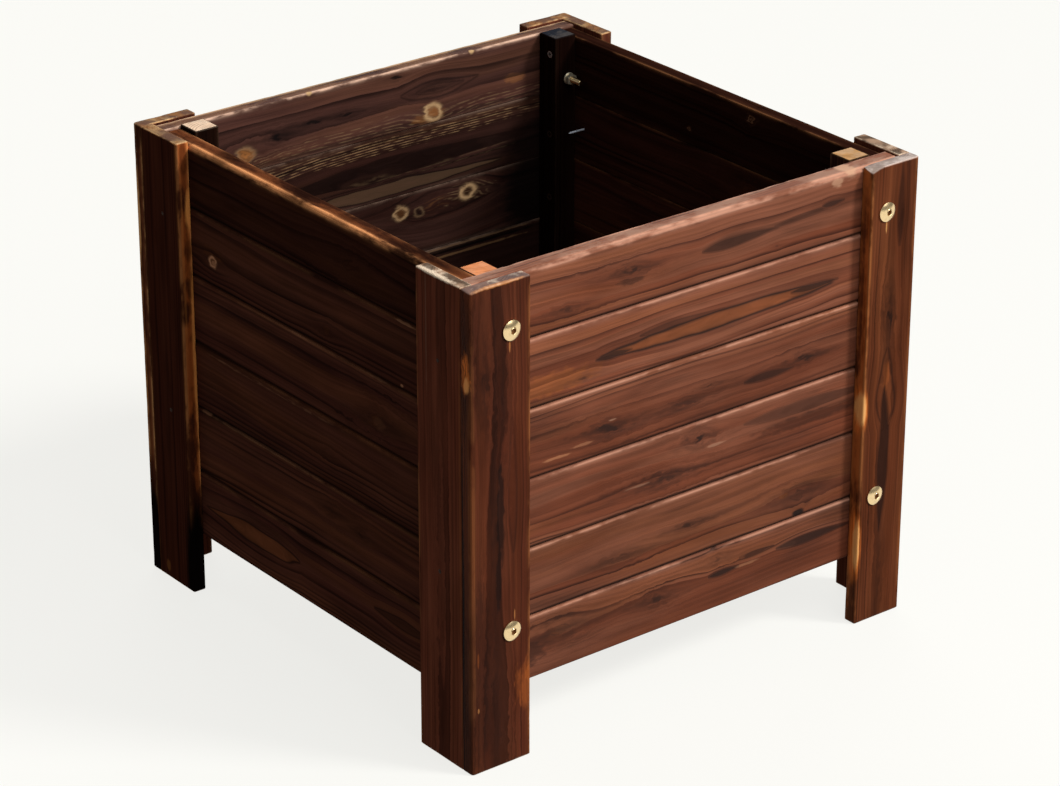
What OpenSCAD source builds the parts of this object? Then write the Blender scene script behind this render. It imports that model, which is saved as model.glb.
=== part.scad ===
// Square planter box of charred softwood, standing on four corner legs.
// Each wall is six tongue-and-groove boards. Each corner has a square post inside the walls and
// two upright leg boards outside them. Furniture bolts run from front to back through the leg
// boards, the walls and the posts. The floor is a row of slats on two bearers.
// Origin: middle of the footprint, at the level of the feet. +Z is up and the front faces -Y.

/* [Outer size] */
// Width over the legs, left to right
outer_w = 500; // [460:5:600]
// Depth over the legs, front to back
outer_d = 500; // [460:5:600]
// Height of the legs
leg_h = 450; // [440:1:460]

/* [Walls] */
// Thickness of the wall boards
board_t = 18; // [16:0.5:20]
// Face height of the middle boards in the front and back walls
front_board_h = 64.75; // [62:0.25:66]
// Face height of the middle boards in the left and right walls
side_board_h = 65.5; // [62:0.25:66]
// Distance from the leg tops down to the highest board joint
joint_drop = 64; // [60:1:66]
// Distance from the leg tops down to the rim of the front and back walls
front_drop = 2; // [0:1:6]
// Distance from the leg tops down to the rim of the left and right walls
side_drop = 4; // [0:1:8]
// Gap under the front and back walls
front_gap = 65; // [50:1:70]
// Gap under the left and right walls
side_gap = 57; // [50:1:70]
// Height of the bevel along the top outer edge of each board
bevel_h = 3.5; // [1:0.5:5]
// Depth of that bevel into the board
bevel_d = 3; // [1:0.5:4]
// Thickness of the tongues
tongue_t = 5.6; // [4:0.1:7]
// Height of the tongues
tongue_h = 6; // [4:0.5:8]

/* [Legs and posts] */
// Thickness of the leg boards
leg_t = 13; // [10:0.5:16]
// Widths of the front and back leg boards: front left, front right, back left, back right
face_leg_w = [63, 56, 59, 57]; // [54:1:70]
// Widths of the side leg boards, corner by corner in the same order
side_leg_w = [61, 59, 58, 60]; // [54:1:70]
// Side of the square posts
post_w = 25; // [22:1:30]
// Distances from the leg tops down to the post tops, corner by corner
post_drop = [4, 1, 0, 1]; // [0:0.5:8]
// Bevel on the outer corner of each leg
corner_bevel = 3; // [1:0.5:4]
// Bevel on the other long edges of legs and posts
edge_bevel = 1.5; // [0.5:0.5:2]

/* [Floor] */
// Number of floor slats
slats = 7; // [5:1:9]
// Drainage gap between slats
slat_gap = 6; // [5:0.5:10]
// Thickness of the slats
slat_t = 12; // [10:0.5:15]
// Height of the bearers under the slats
bearer_h = 24; // [20:1:28]
// Width of the bearers
bearer_w = 20; // [18:1:25]

/* [Fasteners] */
// Diameter of the furniture bolts
bolt_d = 6; // [5:0.5:8]
// Length of the bolts under the head
bolt_len = 75; // [70:1:80]
// Diameter of the domed bolt heads
head_d = 18.5; // [15:0.5:20]
// Height of the domed bolt heads
head_h = 4; // [3:0.5:5]
// Distances of the bolts from the middle of the box, corner by corner
bolt_x = [207.5, 212.5, 210, 210]; // [204:0.5:212]
// Heights of the bolts
bolt_z = [128, 406]; // [100:1:420]

/* [Hidden] */
$fn = 48;
boards = 6;
clearance = 0.1;

// Wall planes, as distances from the middle
leg_in_x = outer_w / 2 - leg_t;
leg_in_y = outer_d / 2 - leg_t;
wall_in_x = leg_in_x - board_t;
wall_in_y = leg_in_y - board_t;
post_in_x = wall_in_x - post_w;
post_in_y = wall_in_y - post_w;

// Tongue and groove
groove_t = tongue_t + 0.4;
groove_h = tongue_h + 0.6;
tongue_mid = board_t / 2 + 0.5;
under_bevel = 0.6;
rim_inner_bevel = 1;

// Bolts, washers and nuts
bolt_hole_d = bolt_d + 0.6;
head_rim = 1.2;
socket_af = 5;
socket_depth = 3;
washer_d = 12;
washer_t = 1.6;
nut_af = 10;
nut_h = 5;
thread_end = 0.8;

// Wood screws, as [shank radius, head radius, head height, point length]
screw = [1.75, 3.5, 2.4, 5];
post_screw_len = 35;
post_screw_y = wall_in_y - 16;
bearer_screw_len = 30;
bearer_screw_x = [-126, 0, 126];

// Nails, as [shank radius, head radius, head height, point length]
nail = [1.1, 2.3, 1, 3];
wall_nail_len = 40;
wall_nail_x = post_in_x + 5;
leg_nail_len = 50;
leg_nail_y = wall_in_y - 13;
leg_nail_z = [180, 375];
slat_nail_len = 30;
slat_nail_in = 16;
// The upper nail of the back right leg misses the post, and its point shows inside the box
stray_nail_y = wall_in_y - 38;
stray_nail_z = 355;

// Floor
floor_z = front_gap + 2;
slat_z = floor_z + bearer_h;
slat_fit = 1;
slat_span = 2 * (wall_in_x - slat_fit);
slat_w = (slat_span - (slats - 1) * slat_gap) / slats;
slat_len = 2 * (wall_in_y - slat_fit);

corners = ["front_left", "front_right", "back_left", "back_right"];
sides = ["front", "back", "left", "right"];

// Direction of a corner from the middle of the box
function corner_x(c) = c % 2 == 0 ? -1 : 1;
function corner_y(c) = c < 2 ? -1 : 1;

// Face of board i in a wall, counted down from the rim: its lower and upper edge
function low_z(i, h, gap) = i == boards - 1 ? gap : leg_h - joint_drop - i * h;
function high_z(i, h, drop) = i == 0 ? leg_h - drop : leg_h - joint_drop - (i - 1) * h;
function front_low(i) = low_z(i, front_board_h, front_gap);
function front_high(i) = high_z(i, front_board_h, front_drop);
function side_low(i) = low_z(i, side_board_h, side_gap);
function side_high(i) = high_z(i, side_board_h, side_drop);
function front_mid(i) = (front_low(i) + front_high(i)) / 2;
function side_mid(i) = (side_low(i) + side_high(i)) / 2;
// The top screw in each post sits high in its board, above the upper bolt
function post_screw_z(i) = side_mid(i) + (i == 0 ? 15 : -4);
function wall_nail_z(i) = front_mid(i) + 4;
function slat_mid(i) = (i - (slats - 1) / 2) * (slat_w + slat_gap);

// Moves a piece drawn in the +X +Y quarter to corner c
module at_corner(c) {
    module over_x() {
        if (corner_x(c) < 0) mirror([1, 0, 0]) children();
        else children();
    }
    module over_y() {
        if (corner_y(c) < 0) mirror([0, 1, 0]) children();
        else children();
    }
    over_x() over_y() children();
}

module along_x(x0, x1, y, z, r) {
    translate([x0, y, z]) rotate([0, 90, 0]) cylinder(h = x1 - x0, r = r);
}

module along_y(x, y0, y1, z, r) {
    translate([x, y0, z]) rotate([-90, 0, 0]) cylinder(h = y1 - y0, r = r);
}

// Upright bar with bevelled long edges; bevels go round from the -X -Y corner
module bar(x0, y0, x1, y1, z0, z1, b) {
    translate([0, 0, z0]) linear_extrude(z1 - z0) polygon([
        [x0, y0 + b[0]], [x0 + b[0], y0],
        [x1 - b[1], y0], [x1, y0 + b[1]],
        [x1, y1 - b[2]], [x1 - b[2], y1],
        [x0 + b[3], y1], [x0, y1 - b[3]]
    ]);
}

// Pointed fastener along +Z with its head's top at 0: size is [shank r, head r, head height, point]
module pin_shape(size, len, taper, grow) {
    flat_head = taper ? [] : [[size[1] + grow, size[2] + grow]];
    neck_z = taper ? size[2] : size[2] + grow;
    rotate_extrude() polygon(concat(
        [[0, 0], [size[1] + grow, 0]],
        flat_head,
        [[size[0] + grow, neck_z], [size[0] + grow, len - size[3]], [0, len + grow]]
    ));
}

// ---- Walls ----

// Outline of a board: depth from the outer face along x, height along y
module board_outline(z0, z1, is_top, is_bottom) {
    g0 = tongue_mid - groove_t / 2;
    g1 = tongue_mid + groove_t / 2;
    t0 = tongue_mid - tongue_t / 2;
    t1 = tongue_mid + tongue_t / 2;
    groove = is_bottom ? [] : [[g0, z0], [g0, z0 + groove_h], [g1, z0 + groove_h], [g1, z0]];
    tongue = is_top ? [] : [[t1, z1], [t1, z1 + tongue_h], [t0, z1 + tongue_h], [t0, z1]];
    inner = is_top ? rim_inner_bevel : 0.3;
    polygon(concat(
        [[0, z0 + under_bevel], [under_bevel, z0]],
        groove,
        [[board_t, z0], [board_t, z1 - inner], [board_t - inner, z1]],
        tongue,
        [[bevel_d, z1], [0, z1 - bevel_h]]
    ));
}

// Front wall board i, outer face towards -Y
module front_wall_board(i) {
    difference() {
        translate([-leg_in_x, -leg_in_y, 0]) rotate([90, 0, 90]) linear_extrude(2 * leg_in_x)
            board_outline(front_low(i), front_high(i), i == 0, i == boards - 1);
        for (s = [-1, 1])
            translate([s * wall_nail_x, -leg_in_y, wall_nail_z(i)]) rotate([-90, 0, 0])
                pin_shape(nail, wall_nail_len, false, clearance);
    }
}

module front_board(i) {
    color("#6e4230") difference() {
        front_wall_board(i);
        for (c = [0, 1], z = bolt_z)
            if (abs(z - front_mid(i)) < front_board_h)
                along_y(corner_x(c) * bolt_x[c], -outer_d, -post_in_y, z, bolt_hole_d / 2);
    }
}

module back_board(i) {
    color("#5a3426") difference() {
        mirror([0, 1, 0]) front_wall_board(i);
        for (c = [2, 3], z = bolt_z)
            if (abs(z - front_mid(i)) < front_board_h)
                along_y(corner_x(c) * bolt_x[c], post_in_y, outer_d, z, bolt_hole_d / 2);
    }
}

// Side wall board i as it is on the left, outer face towards -X
module side_wall_board(i) {
    translate([-leg_in_x, wall_in_y, 0]) rotate([90, 0, 0]) linear_extrude(2 * wall_in_y)
        board_outline(side_low(i), side_high(i), i == 0, i == boards - 1);
}

module left_board(i) {
    color("#3a2219") difference() {
        side_wall_board(i);
        for (c = [0, 2]) side_wall_holes(c, i);
    }
}

module right_board(i) {
    color("#3a2219") difference() {
        mirror([1, 0, 0]) side_wall_board(i);
        for (c = [1, 3]) side_wall_holes(c, i);
    }
}

// Holes at corner c for the post screw in side board i and for the leg nails
module side_wall_holes(c, i) {
    at_corner(c) {
        post_screw_at(i) pin_shape(screw, post_screw_len, true, clearance);
        for (z = leg_nail_z)
            if (z > side_low(i) && z < side_high(i) && nail_hits_post(c, z))
                leg_nail_at(leg_nail_y, z) pin_shape(nail, leg_nail_len, false, clearance);
        if (c == 3 && stray_nail_z > side_low(i) && stray_nail_z < side_high(i))
            leg_nail_at(stray_nail_y, stray_nail_z)
                pin_shape(nail, leg_nail_len, false, clearance);
    }
}

// ---- Legs and posts ----

// Leg board on the front or back face, over the edge of the side leg board
module leg_face(c) {
    color("#4f2e22") at_corner(c) difference() {
        bar(outer_w / 2 - face_leg_w[c], leg_in_y, outer_w / 2, outer_d / 2, 0, leg_h,
            [0.5, 0.5, corner_bevel, edge_bevel]);
        for (z = bolt_z) along_y(bolt_x[c], 0, outer_d, z, bolt_hole_d / 2);
    }
}

module leg_side(c) {
    color("#3b241a") at_corner(c) difference() {
        bar(leg_in_x, leg_in_y - side_leg_w[c], outer_w / 2, leg_in_y, 0, leg_h,
            [0.5, edge_bevel, edge_bevel, 0.5]);
        for (z = leg_nail_z)
            if (nail_hits_post(c, z))
                leg_nail_at(leg_nail_y, z) pin_shape(nail, leg_nail_len, false, clearance);
        if (c == 3)
            leg_nail_at(stray_nail_y, stray_nail_z)
                pin_shape(nail, leg_nail_len, false, clearance);
    }
}

module post(c) {
    b = edge_bevel / 2;
    color("#8a5a3c") at_corner(c) difference() {
        bar(post_in_x, post_in_y, wall_in_x, wall_in_y, front_gap, leg_h - post_drop[c], [b, b, b, b]);
        for (z = bolt_z) along_y(bolt_x[c], 0, outer_d, z, bolt_hole_d / 2);
        for (i = [0 : boards - 1]) {
            post_screw_at(i) pin_shape(screw, post_screw_len, true, clearance);
            wall_nail_at(i) pin_shape(nail, wall_nail_len, false, clearance);
        }
        for (z = leg_nail_z)
            if (nail_hits_post(c, z))
                leg_nail_at(leg_nail_y, z) pin_shape(nail, leg_nail_len, false, clearance);
    }
}

// ---- Floor ----

// Bearer along the front wall
module front_bearer_bar() {
    half = post_in_x - slat_fit / 2;
    difference() {
        translate([-half, -wall_in_y, floor_z]) cube([2 * half, bearer_w, bearer_h]);
        for (x = bearer_screw_x)
            bearer_screw_at(x) pin_shape(screw, bearer_screw_len, true, clearance);
        for (i = [0 : slats - 1], s = [-1, 1])
            slat_nail_at(i, s, -1) pin_shape(nail, slat_nail_len, false, clearance);
    }
}

module front_bearer() {
    color("#7a5238") front_bearer_bar();
}

module back_bearer() {
    color("#7a5238") mirror([0, 1, 0]) front_bearer_bar();
}

// Slat i from the left; the first and last are notched round the posts
module floor_slat(i) {
    x0 = slat_mid(i) - slat_w / 2;
    notch = post_w + slat_fit;
    color("#6b4631") difference() {
        translate([x0, -slat_len / 2, slat_z]) cube([slat_w, slat_len, slat_t]);
        if (i == 0 || i == slats - 1)
            for (sy = [-1, 1]) {
                s = i == 0 ? -1 : 1;
                translate([s * wall_in_x - notch, sy * wall_in_y - notch, slat_z - 1])
                    cube([2 * notch, 2 * notch, slat_t + 2]);
            }
        for (s = [-1, 1], sy = [-1, 1])
            slat_nail_at(i, s, sy) pin_shape(nail, slat_nail_len, false, clearance);
    }
}

// ---- Fasteners ----

// Each of these places a fastener drawn along +Z, head first
module post_screw_at(i) {
    translate([post_in_x, post_screw_y, post_screw_z(i)]) rotate([0, 90, 0]) children();
}

module wall_nail_at(i) {
    translate([wall_nail_x, leg_in_y, wall_nail_z(i)]) rotate([90, 0, 0]) children();
}

module leg_nail_at(y, z) {
    translate([outer_w / 2, y, z]) rotate([0, -90, 0]) children();
}

module bearer_screw_at(x) {
    translate([x, -wall_in_y + bearer_w, floor_z + bearer_h / 2]) rotate([90, 0, 0]) children();
}

module slat_nail_at(i, s, sy) {
    inward = i == 0 ? 9 : i == slats - 1 ? -9 : 0;
    spread = inward == 0 ? slat_nail_in : slat_nail_in / 2;
    translate([slat_mid(i) + inward + s * spread, sy * (wall_in_y - bearer_w / 2), slat_z + slat_t])
        rotate([180, 0, 0]) children();
}

function nail_hits_post(c, z) = !(c == 3 && z == max(leg_nail_z));

// Furniture bolt along +Y with the underside of its head at the leg's face
module bolt(x, z) {
    dome_r = (pow(head_d / 2, 2) + pow(head_h - head_rim, 2)) / (2 * (head_h - head_rim));
    translate([x, outer_d / 2, z]) rotate([-90, 0, 0]) {
        difference() {
            intersection() {
                cylinder(h = head_h, d = head_d);
                translate([0, 0, head_h - dome_r]) sphere(r = dome_r);
            }
            translate([0, 0, head_h - socket_depth])
                cylinder(h = socket_depth, d = socket_af / cos(30), $fn = 6);
        }
        translate([0, 0, thread_end - bolt_len]) cylinder(h = bolt_len - thread_end, d = bolt_d);
        translate([0, 0, -bolt_len])
            cylinder(h = thread_end, d1 = bolt_d - 2 * thread_end, d2 = bolt_d);
    }
}

module bolts() {
    color("#d8bd7a")
        for (c = [0 : 3], z = bolt_z) at_corner(c) bolt(bolt_x[c], z);
}

module washers() {
    color("#c9b487")
        for (c = [0 : 3], z = bolt_z) at_corner(c) difference() {
            along_y(bolt_x[c], post_in_y - washer_t, post_in_y, z, washer_d / 2);
            along_y(bolt_x[c], 0, outer_d, z, bolt_hole_d / 2);
        }
}

module nuts() {
    y1 = post_in_y - washer_t;
    color("#c9b487")
        for (c = [0 : 3], z = bolt_z) at_corner(c) difference() {
            translate([bolt_x[c], y1, z]) rotate([90, 0, 0])
                cylinder(h = nut_h, d = nut_af / cos(30), $fn = 6);
            along_y(bolt_x[c], 0, outer_d, z, bolt_d / 2 + clearance / 2);
        }
}

module post_screws() {
    color("#b9b6b0")
        for (c = [0 : 3], i = [0 : boards - 1])
            at_corner(c) post_screw_at(i) pin_shape(screw, post_screw_len, true, 0);
}

module bearer_screws() {
    color("#b9b6b0")
        for (x = bearer_screw_x) {
            bearer_screw_at(x) pin_shape(screw, bearer_screw_len, true, 0);
            mirror([0, 1, 0]) bearer_screw_at(x) pin_shape(screw, bearer_screw_len, true, 0);
        }
}

module wall_nails() {
    color("#8f9094")
        for (c = [0 : 3], i = [0 : boards - 1])
            at_corner(c) wall_nail_at(i) pin_shape(nail, wall_nail_len, false, 0);
}

module leg_nails() {
    color("#8f9094") {
        for (c = [0 : 3], z = leg_nail_z)
            if (nail_hits_post(c, z))
                at_corner(c) leg_nail_at(leg_nail_y, z) pin_shape(nail, leg_nail_len, false, 0);
        leg_nail_at(stray_nail_y, stray_nail_z) pin_shape(nail, leg_nail_len, false, 0);
    }
}

module slat_nails() {
    color("#8f9094")
        for (i = [0 : slats - 1], s = [-1, 1], sy = [-1, 1])
            slat_nail_at(i, s, sy) pin_shape(nail, slat_nail_len, false, 0);
}

// ---- Assembly ----

for (i = [0 : boards - 1]) {
    front_board(i);
    back_board(i);
    left_board(i);
    right_board(i);
}
for (c = [0 : 3]) {
    leg_face(c);
    leg_side(c);
    post(c);
}
front_bearer();
back_bearer();
for (i = [0 : slats - 1]) {
    floor_slat(i);
}
bolts();
washers();
nuts();
post_screws();
bearer_screws();
wall_nails();
leg_nails();
slat_nails();
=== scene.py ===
"""Looks for the planter box of charred softwood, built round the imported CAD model.

Every wooden part is a new mesh swept along the part it stands for, with rounded, worn edges.
Lengths are in metres. Grain coordinates are (along the grain, across the board, depth).
"""

import math

import bmesh
import bpy
from mathutils import Euler, Matrix, Vector, noise


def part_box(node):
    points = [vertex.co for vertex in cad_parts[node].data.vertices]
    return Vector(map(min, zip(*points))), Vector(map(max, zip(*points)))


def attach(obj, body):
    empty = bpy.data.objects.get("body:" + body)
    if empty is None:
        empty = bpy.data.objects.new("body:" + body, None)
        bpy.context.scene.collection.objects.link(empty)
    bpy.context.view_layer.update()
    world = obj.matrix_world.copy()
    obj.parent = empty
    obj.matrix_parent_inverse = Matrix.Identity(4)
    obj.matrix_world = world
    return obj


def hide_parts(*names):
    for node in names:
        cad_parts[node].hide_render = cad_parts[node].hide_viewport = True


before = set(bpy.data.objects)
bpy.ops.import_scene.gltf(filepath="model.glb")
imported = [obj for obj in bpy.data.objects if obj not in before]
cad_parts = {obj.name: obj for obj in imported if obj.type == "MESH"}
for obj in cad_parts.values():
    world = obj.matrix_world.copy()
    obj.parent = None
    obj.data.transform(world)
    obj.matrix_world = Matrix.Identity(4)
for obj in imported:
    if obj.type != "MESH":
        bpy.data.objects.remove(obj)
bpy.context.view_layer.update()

MM = 0.001
BODY = "root"

# ---------------- camera, floor and light

CAMERA_AT = (-1.8925, -2.4053, 1.6043)
CAMERA_YAW = 38.34
CAMERA_PITCH = 24.64
CAMERA_ROLL = 0.07
CAMERA_LENS = 124.31

FLOOR_HALF = 30.0
FLOOR_COLOUR = (0.18, 0.18, 0.17, 1.0)
FLOOR_GLOW = (1.0, 0.995, 0.96, 1.0)
FLOOR_GLOW_STRENGTH = 0.80
SKY_COLOUR = (1.0, 1.0, 0.98, 1.0)
SKY_STRENGTH = 0.20
SOFT_BOX_AT = (0.3, -2.6, 2.6)
SOFT_BOX_SIZE = 2.2
SOFT_BOX_POWER = 42.0
# Suns: where each comes from, its strength, its angular size in degrees and its colour
SUNS = {
    "key": ((0.476, -0.572, 0.669), 2.45, 14.0, (1.0, 0.985, 0.96)),
    "fill": ((0.55, 0.75, 0.42), 0.9, 50.0, (1.0, 1.0, 1.0)),
}


def put(name, data):
    """Puts new data in the scene as an object."""
    thing = bpy.data.objects.new(name, data)
    bpy.context.collection.objects.link(thing)
    return thing


def make_camera():
    camera = put("camera", bpy.data.cameras.new("camera"))
    camera.data.sensor_fit = "HORIZONTAL"
    camera.data.sensor_width = 36.0
    camera.data.lens = CAMERA_LENS
    camera.data.clip_end = 200.0
    turn = Euler((math.radians(90.0 - CAMERA_PITCH), 0.0, math.radians(-CAMERA_YAW))).to_matrix()
    roll = Matrix.Rotation(math.radians(CAMERA_ROLL), 3, "Z")
    camera.matrix_world = Matrix.Translation(CAMERA_AT) @ (turn @ roll).to_4x4()
    bpy.context.scene.camera = camera


def shine_from(lamp, place):
    """Turns a light so that it shines from that place to the origin."""
    lamp.rotation_euler = Vector(place).to_track_quat("Z", "Y").to_euler()


def make_sun(name):
    place, strength, angle, colour = SUNS[name]
    light = bpy.data.lights.new(name, "SUN")
    light.energy = strength
    light.angle = math.radians(angle)
    light.color = colour
    shine_from(put(name, light), place)


def make_soft_box():
    """A wide soft light beside the key, for sheen on the wood and the bolt heads."""
    light = bpy.data.lights.new("soft_box", "AREA")
    light.size = SOFT_BOX_SIZE
    light.energy = SOFT_BOX_POWER
    box = put("soft_box", light)
    box.location = SOFT_BOX_AT
    shine_from(box, SOFT_BOX_AT)


def make_world():
    world = bpy.data.worlds.new("studio")
    world.use_nodes = True
    background = world.node_tree.nodes["Background"]
    background.inputs["Color"].default_value = SKY_COLOUR
    background.inputs["Strength"].default_value = SKY_STRENGTH
    bpy.context.scene.world = world


def make_floor():
    """Plain pale floor. It glows a little, and sends no light up to the wood."""
    mesh = bpy.data.meshes.new("floor")
    h = FLOOR_HALF
    mesh.from_pydata([(-h, -h, 0), (h, -h, 0), (h, h, 0), (-h, h, 0)], [], [(0, 1, 2, 3)])
    floor = put("floor", mesh)
    material, _, shader = new_material("floor")
    shader["Base Color"].default_value = FLOOR_COLOUR
    shader["Roughness"].default_value = 0.9
    shader["Specular IOR Level"].default_value = 0.0
    shader["Emission Color"].default_value = FLOOR_GLOW
    shader["Emission Strength"].default_value = FLOOR_GLOW_STRENGTH
    mesh.materials.append(material)
    floor.visible_diffuse = False


# ---------------- shader graph helpers


class Value:
    """A shader socket that ordinary arithmetic signs work on."""

    def __init__(self, graph, socket):
        self.graph = graph
        self.socket = socket

    def __add__(self, other):
        return self.graph.math("ADD", self, other)

    def __sub__(self, other):
        return self.graph.math("SUBTRACT", self, other)

    def __rsub__(self, other):
        return self.graph.math("SUBTRACT", other, self)

    def __mul__(self, other):
        return self.graph.math("MULTIPLY", self, other)

    def __truediv__(self, other):
        return self.graph.math("DIVIDE", self, other)


class Graph:
    """Short ways to add shader nodes and join them."""

    def __init__(self, tree):
        self.tree = tree

    def add(self, kind, **settings):
        node = self.tree.nodes.new("ShaderNode" + kind)
        for key, value in settings.items():
            setattr(node, key, value)
        return node

    def plug(self, value, socket):
        if isinstance(value, Value):
            self.tree.links.new(value.socket, socket)
        else:
            socket.default_value = value

    def run(self, kind, values=(), out=0, **settings):
        """Adds a node, fills its inputs in their order, and gives one of its outputs."""
        node = self.add(kind, **settings)
        for value, socket in zip(values, node.inputs):
            self.plug(value, socket)
        return Value(self, node.outputs[out])

    def read(self, name, out="Fac"):
        return self.run("Attribute", out=out, attribute_name=name)

    def math(self, operation, *values, clamp=False):
        return self.run("Math", values, operation=operation, use_clamp=clamp)

    def most(self, a, b):
        return self.math("MAXIMUM", a, b)

    def gauss(self, squared):
        return self.math("EXPONENT", squared * -1.0)

    def smooth(self, value, low, high, out_low=0.0, out_high=1.0):
        return self.run(
            "MapRange", (value, low, high, out_low, out_high), interpolation_type="SMOOTHSTEP")

    def split(self, vector):
        node = self.add("SeparateXYZ")
        self.plug(vector, node.inputs[0])
        return [Value(self, out) for out in node.outputs]

    def noise(self, vector, stretch, seed=0.0, detail=2.0, rough=0.5):
        offset = (7.31 * seed, 3.17 * seed, 5.77 * seed)
        where = self.run("VectorMath", (vector, stretch, offset), operation="MULTIPLY_ADD")
        w, scale = 0.0, 1.0
        return self.run("TexNoise", (where, w, scale, detail, rough))

    def random(self, number):
        """A random value for each whole number."""
        unused = (0.0, 0.0, 0.0)
        return self.run("TexWhiteNoise", (unused, number), noise_dimensions="1D")

    def mix(self, factor, a, b):
        """Mixes two colours, each a value or a tuple."""
        node = self.add("Mix", data_type="RGBA")
        self.plug(factor, node.inputs[0])
        for colour, socket in ((a, node.inputs[6]), (b, node.inputs[7])):
            self.plug(colour if isinstance(colour, Value) else (*colour, 1.0), socket)
        return Value(self, node.outputs[2])

    def scale(self, vector, factor):
        node = self.add("VectorMath", operation="SCALE")
        self.plug(vector, node.inputs[0])
        self.plug(factor, node.inputs["Scale"])
        return Value(self, node.outputs[0])

    def bump(self, height, strength, distance):
        node = self.add("Bump")
        node.inputs["Strength"].default_value = strength
        node.inputs["Distance"].default_value = distance
        self.plug(height, node.inputs["Height"])
        return Value(self, node.outputs[0])


def new_material(name):
    """A material, its graph, and the input sockets of its shader."""
    material = bpy.data.materials.new(name)
    material.use_nodes = True
    g = Graph(material.node_tree)
    return material, g, g.tree.nodes["Principled BSDF"].inputs


# ---------------- figure in the wood


def knot_figure(g, grain, across, wobble, l, a, half_l, half_a):
    """A knot: grain lines part round it, its rim is dark and it has rings of its own."""
    along, over, _ = g.split(grain)
    gap = over - a
    shaky = (wobble - 0.5) * 4.0
    dl = (along - l) / half_l + shaky
    da = gap / half_a - shaky * 0.8
    dl2 = dl * dl
    da2 = da * da
    r = g.math("SQRT", dl2 + da2)
    bend = g.gauss((dl2 * 0.35 + da2) / 4.5)
    core = g.smooth(r, 1.15, 0.25)
    waves = g.math("COSINE", r * 12.0) * 0.5 + 0.5
    ring = (r - 0.85) * 3.6
    rim = (r - 1.25) * 2.6
    tail = g.gauss(da2 * 2.6 + dl2 * 0.12)
    return dict(
        across=across - gap * bend * 0.9,
        core=core,
        rings=core * waves,
        ring=g.gauss(ring * ring) * g.smooth(wobble, 0.36, 0.5),
        halo=g.most(g.gauss(rim * rim) * 0.4, tail * 0.75),
    )


def lens_figure(g, grain, across, wobble, slope, rim, skew, l, a, half_l, half_a):
    """A pointed lens where one growth layer comes to the surface."""
    along, over, _ = g.split(grain)
    dl = along - l
    x = dl / half_l
    envelope = g.most(1.0 - x * x, 0.0) * (1.0 - x * skew)
    half = envelope * half_a
    lifted = (wobble - 0.5) * half_a * 0.9 + dl * slope
    da = over - a - lifted
    side = g.math("ABSOLUTE", da)
    inside = half - side
    near = inside / rim
    fade = g.gauss(g.most(inside * -1.0, 0.0) / (half_a * 2.2))
    pull = g.math("SIGN", da) * g.math("MINIMUM", side, half) * fade
    return dict(
        across=across - pull,
        fill=g.smooth(inside, 0.0, rim * 0.6) * g.smooth(envelope, 0.0, 0.12),
        rim=g.gauss(near * near) * g.smooth(envelope, 0.0, 0.1),
    )


def patch_figure(g, grain, wobble, d, half_d, l, a, half_l, half_a):
    """A soft-edged spot, broken up by noise."""
    along, over, depth = g.split(grain)
    dl = (along - l) / half_l
    da = (over - a) / half_a
    dd = (depth - d) / half_d
    level = g.gauss(dl * dl + da * da + dd * dd) + (wobble - 0.5) * 1.1
    return dict(mask=g.smooth(level, 0.3, 0.75))


FIGURES = {"knot": knot_figure, "lens": lens_figure, "patch": patch_figure}
TREES = {}


def figure_tree(kind, inputs):
    """A node group of one figure, with float sockets and one vector socket named grain."""
    tree = bpy.data.node_groups.new(kind, "ShaderNodeTree")
    for label in inputs:
        socket = "NodeSocketVector" if label == "grain" else "NodeSocketFloat"
        tree.interface.new_socket(label, in_out="INPUT", socket_type=socket)
    g = Graph(tree)
    source = tree.nodes.new("NodeGroupInput").outputs
    results = FIGURES[kind](g, **{label: Value(g, source[label]) for label in inputs})
    for label in results:
        tree.interface.new_socket(label, in_out="OUTPUT", socket_type="NodeSocketFloat")
    sink = tree.nodes.new("NodeGroupOutput").inputs
    for label, value in results.items():
        g.plug(value, sink[label])
    return tree


def figure(g, kind, **sockets):
    """Adds one figure, with its sockets filled, and gives its outputs by name."""
    if kind not in TREES:
        TREES[kind] = figure_tree(kind, sockets)
    node = g.add("Group", node_tree=TREES[kind])
    for label, value in sockets.items():
        g.plug(value, node.inputs[label])
    return {out.name: Value(g, out) for out in node.outputs}


def scratches(g, grain, across, mask, seed, pitch):
    """Thin lines along the grain, broken here and there, inside a mask."""
    phase = g.math("FRACT", across / pitch)
    line = g.smooth(g.math("ABSOLUTE", phase - 0.5), 0.30, 0.06)
    gaps = g.smooth(g.noise(grain, (75, 330, 330), seed), 0.36, 0.62)
    return mask * line * gaps


# For each kind of feature: the mask it adds to, the figure's output, and the name and default
# of the amount that sets how strongly
MARKS = {
    "knot": [
        ("dark", "halo", "halo", 0.7), ("dark", "core", "core", 0.0), ("dark", "rings", "rings", 0.5),
        ("warm", "core", "warm", 0.0), ("pale", "rings", "pale", 0.0), ("pale", "ring", "ring", 0.0)],
    "lens": [
        ("dark", "rim", "rim", 0.8), ("dark", "fill", "fill", 0.0),
        ("warm", "fill", "warm", 0.0), ("pale", "fill", "pale", 0.0)],
    "patch": [(name, "mask", name, 0.0) for name in ("dark", "warm", "pale")],
}
FAR = 1000.0


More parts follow.
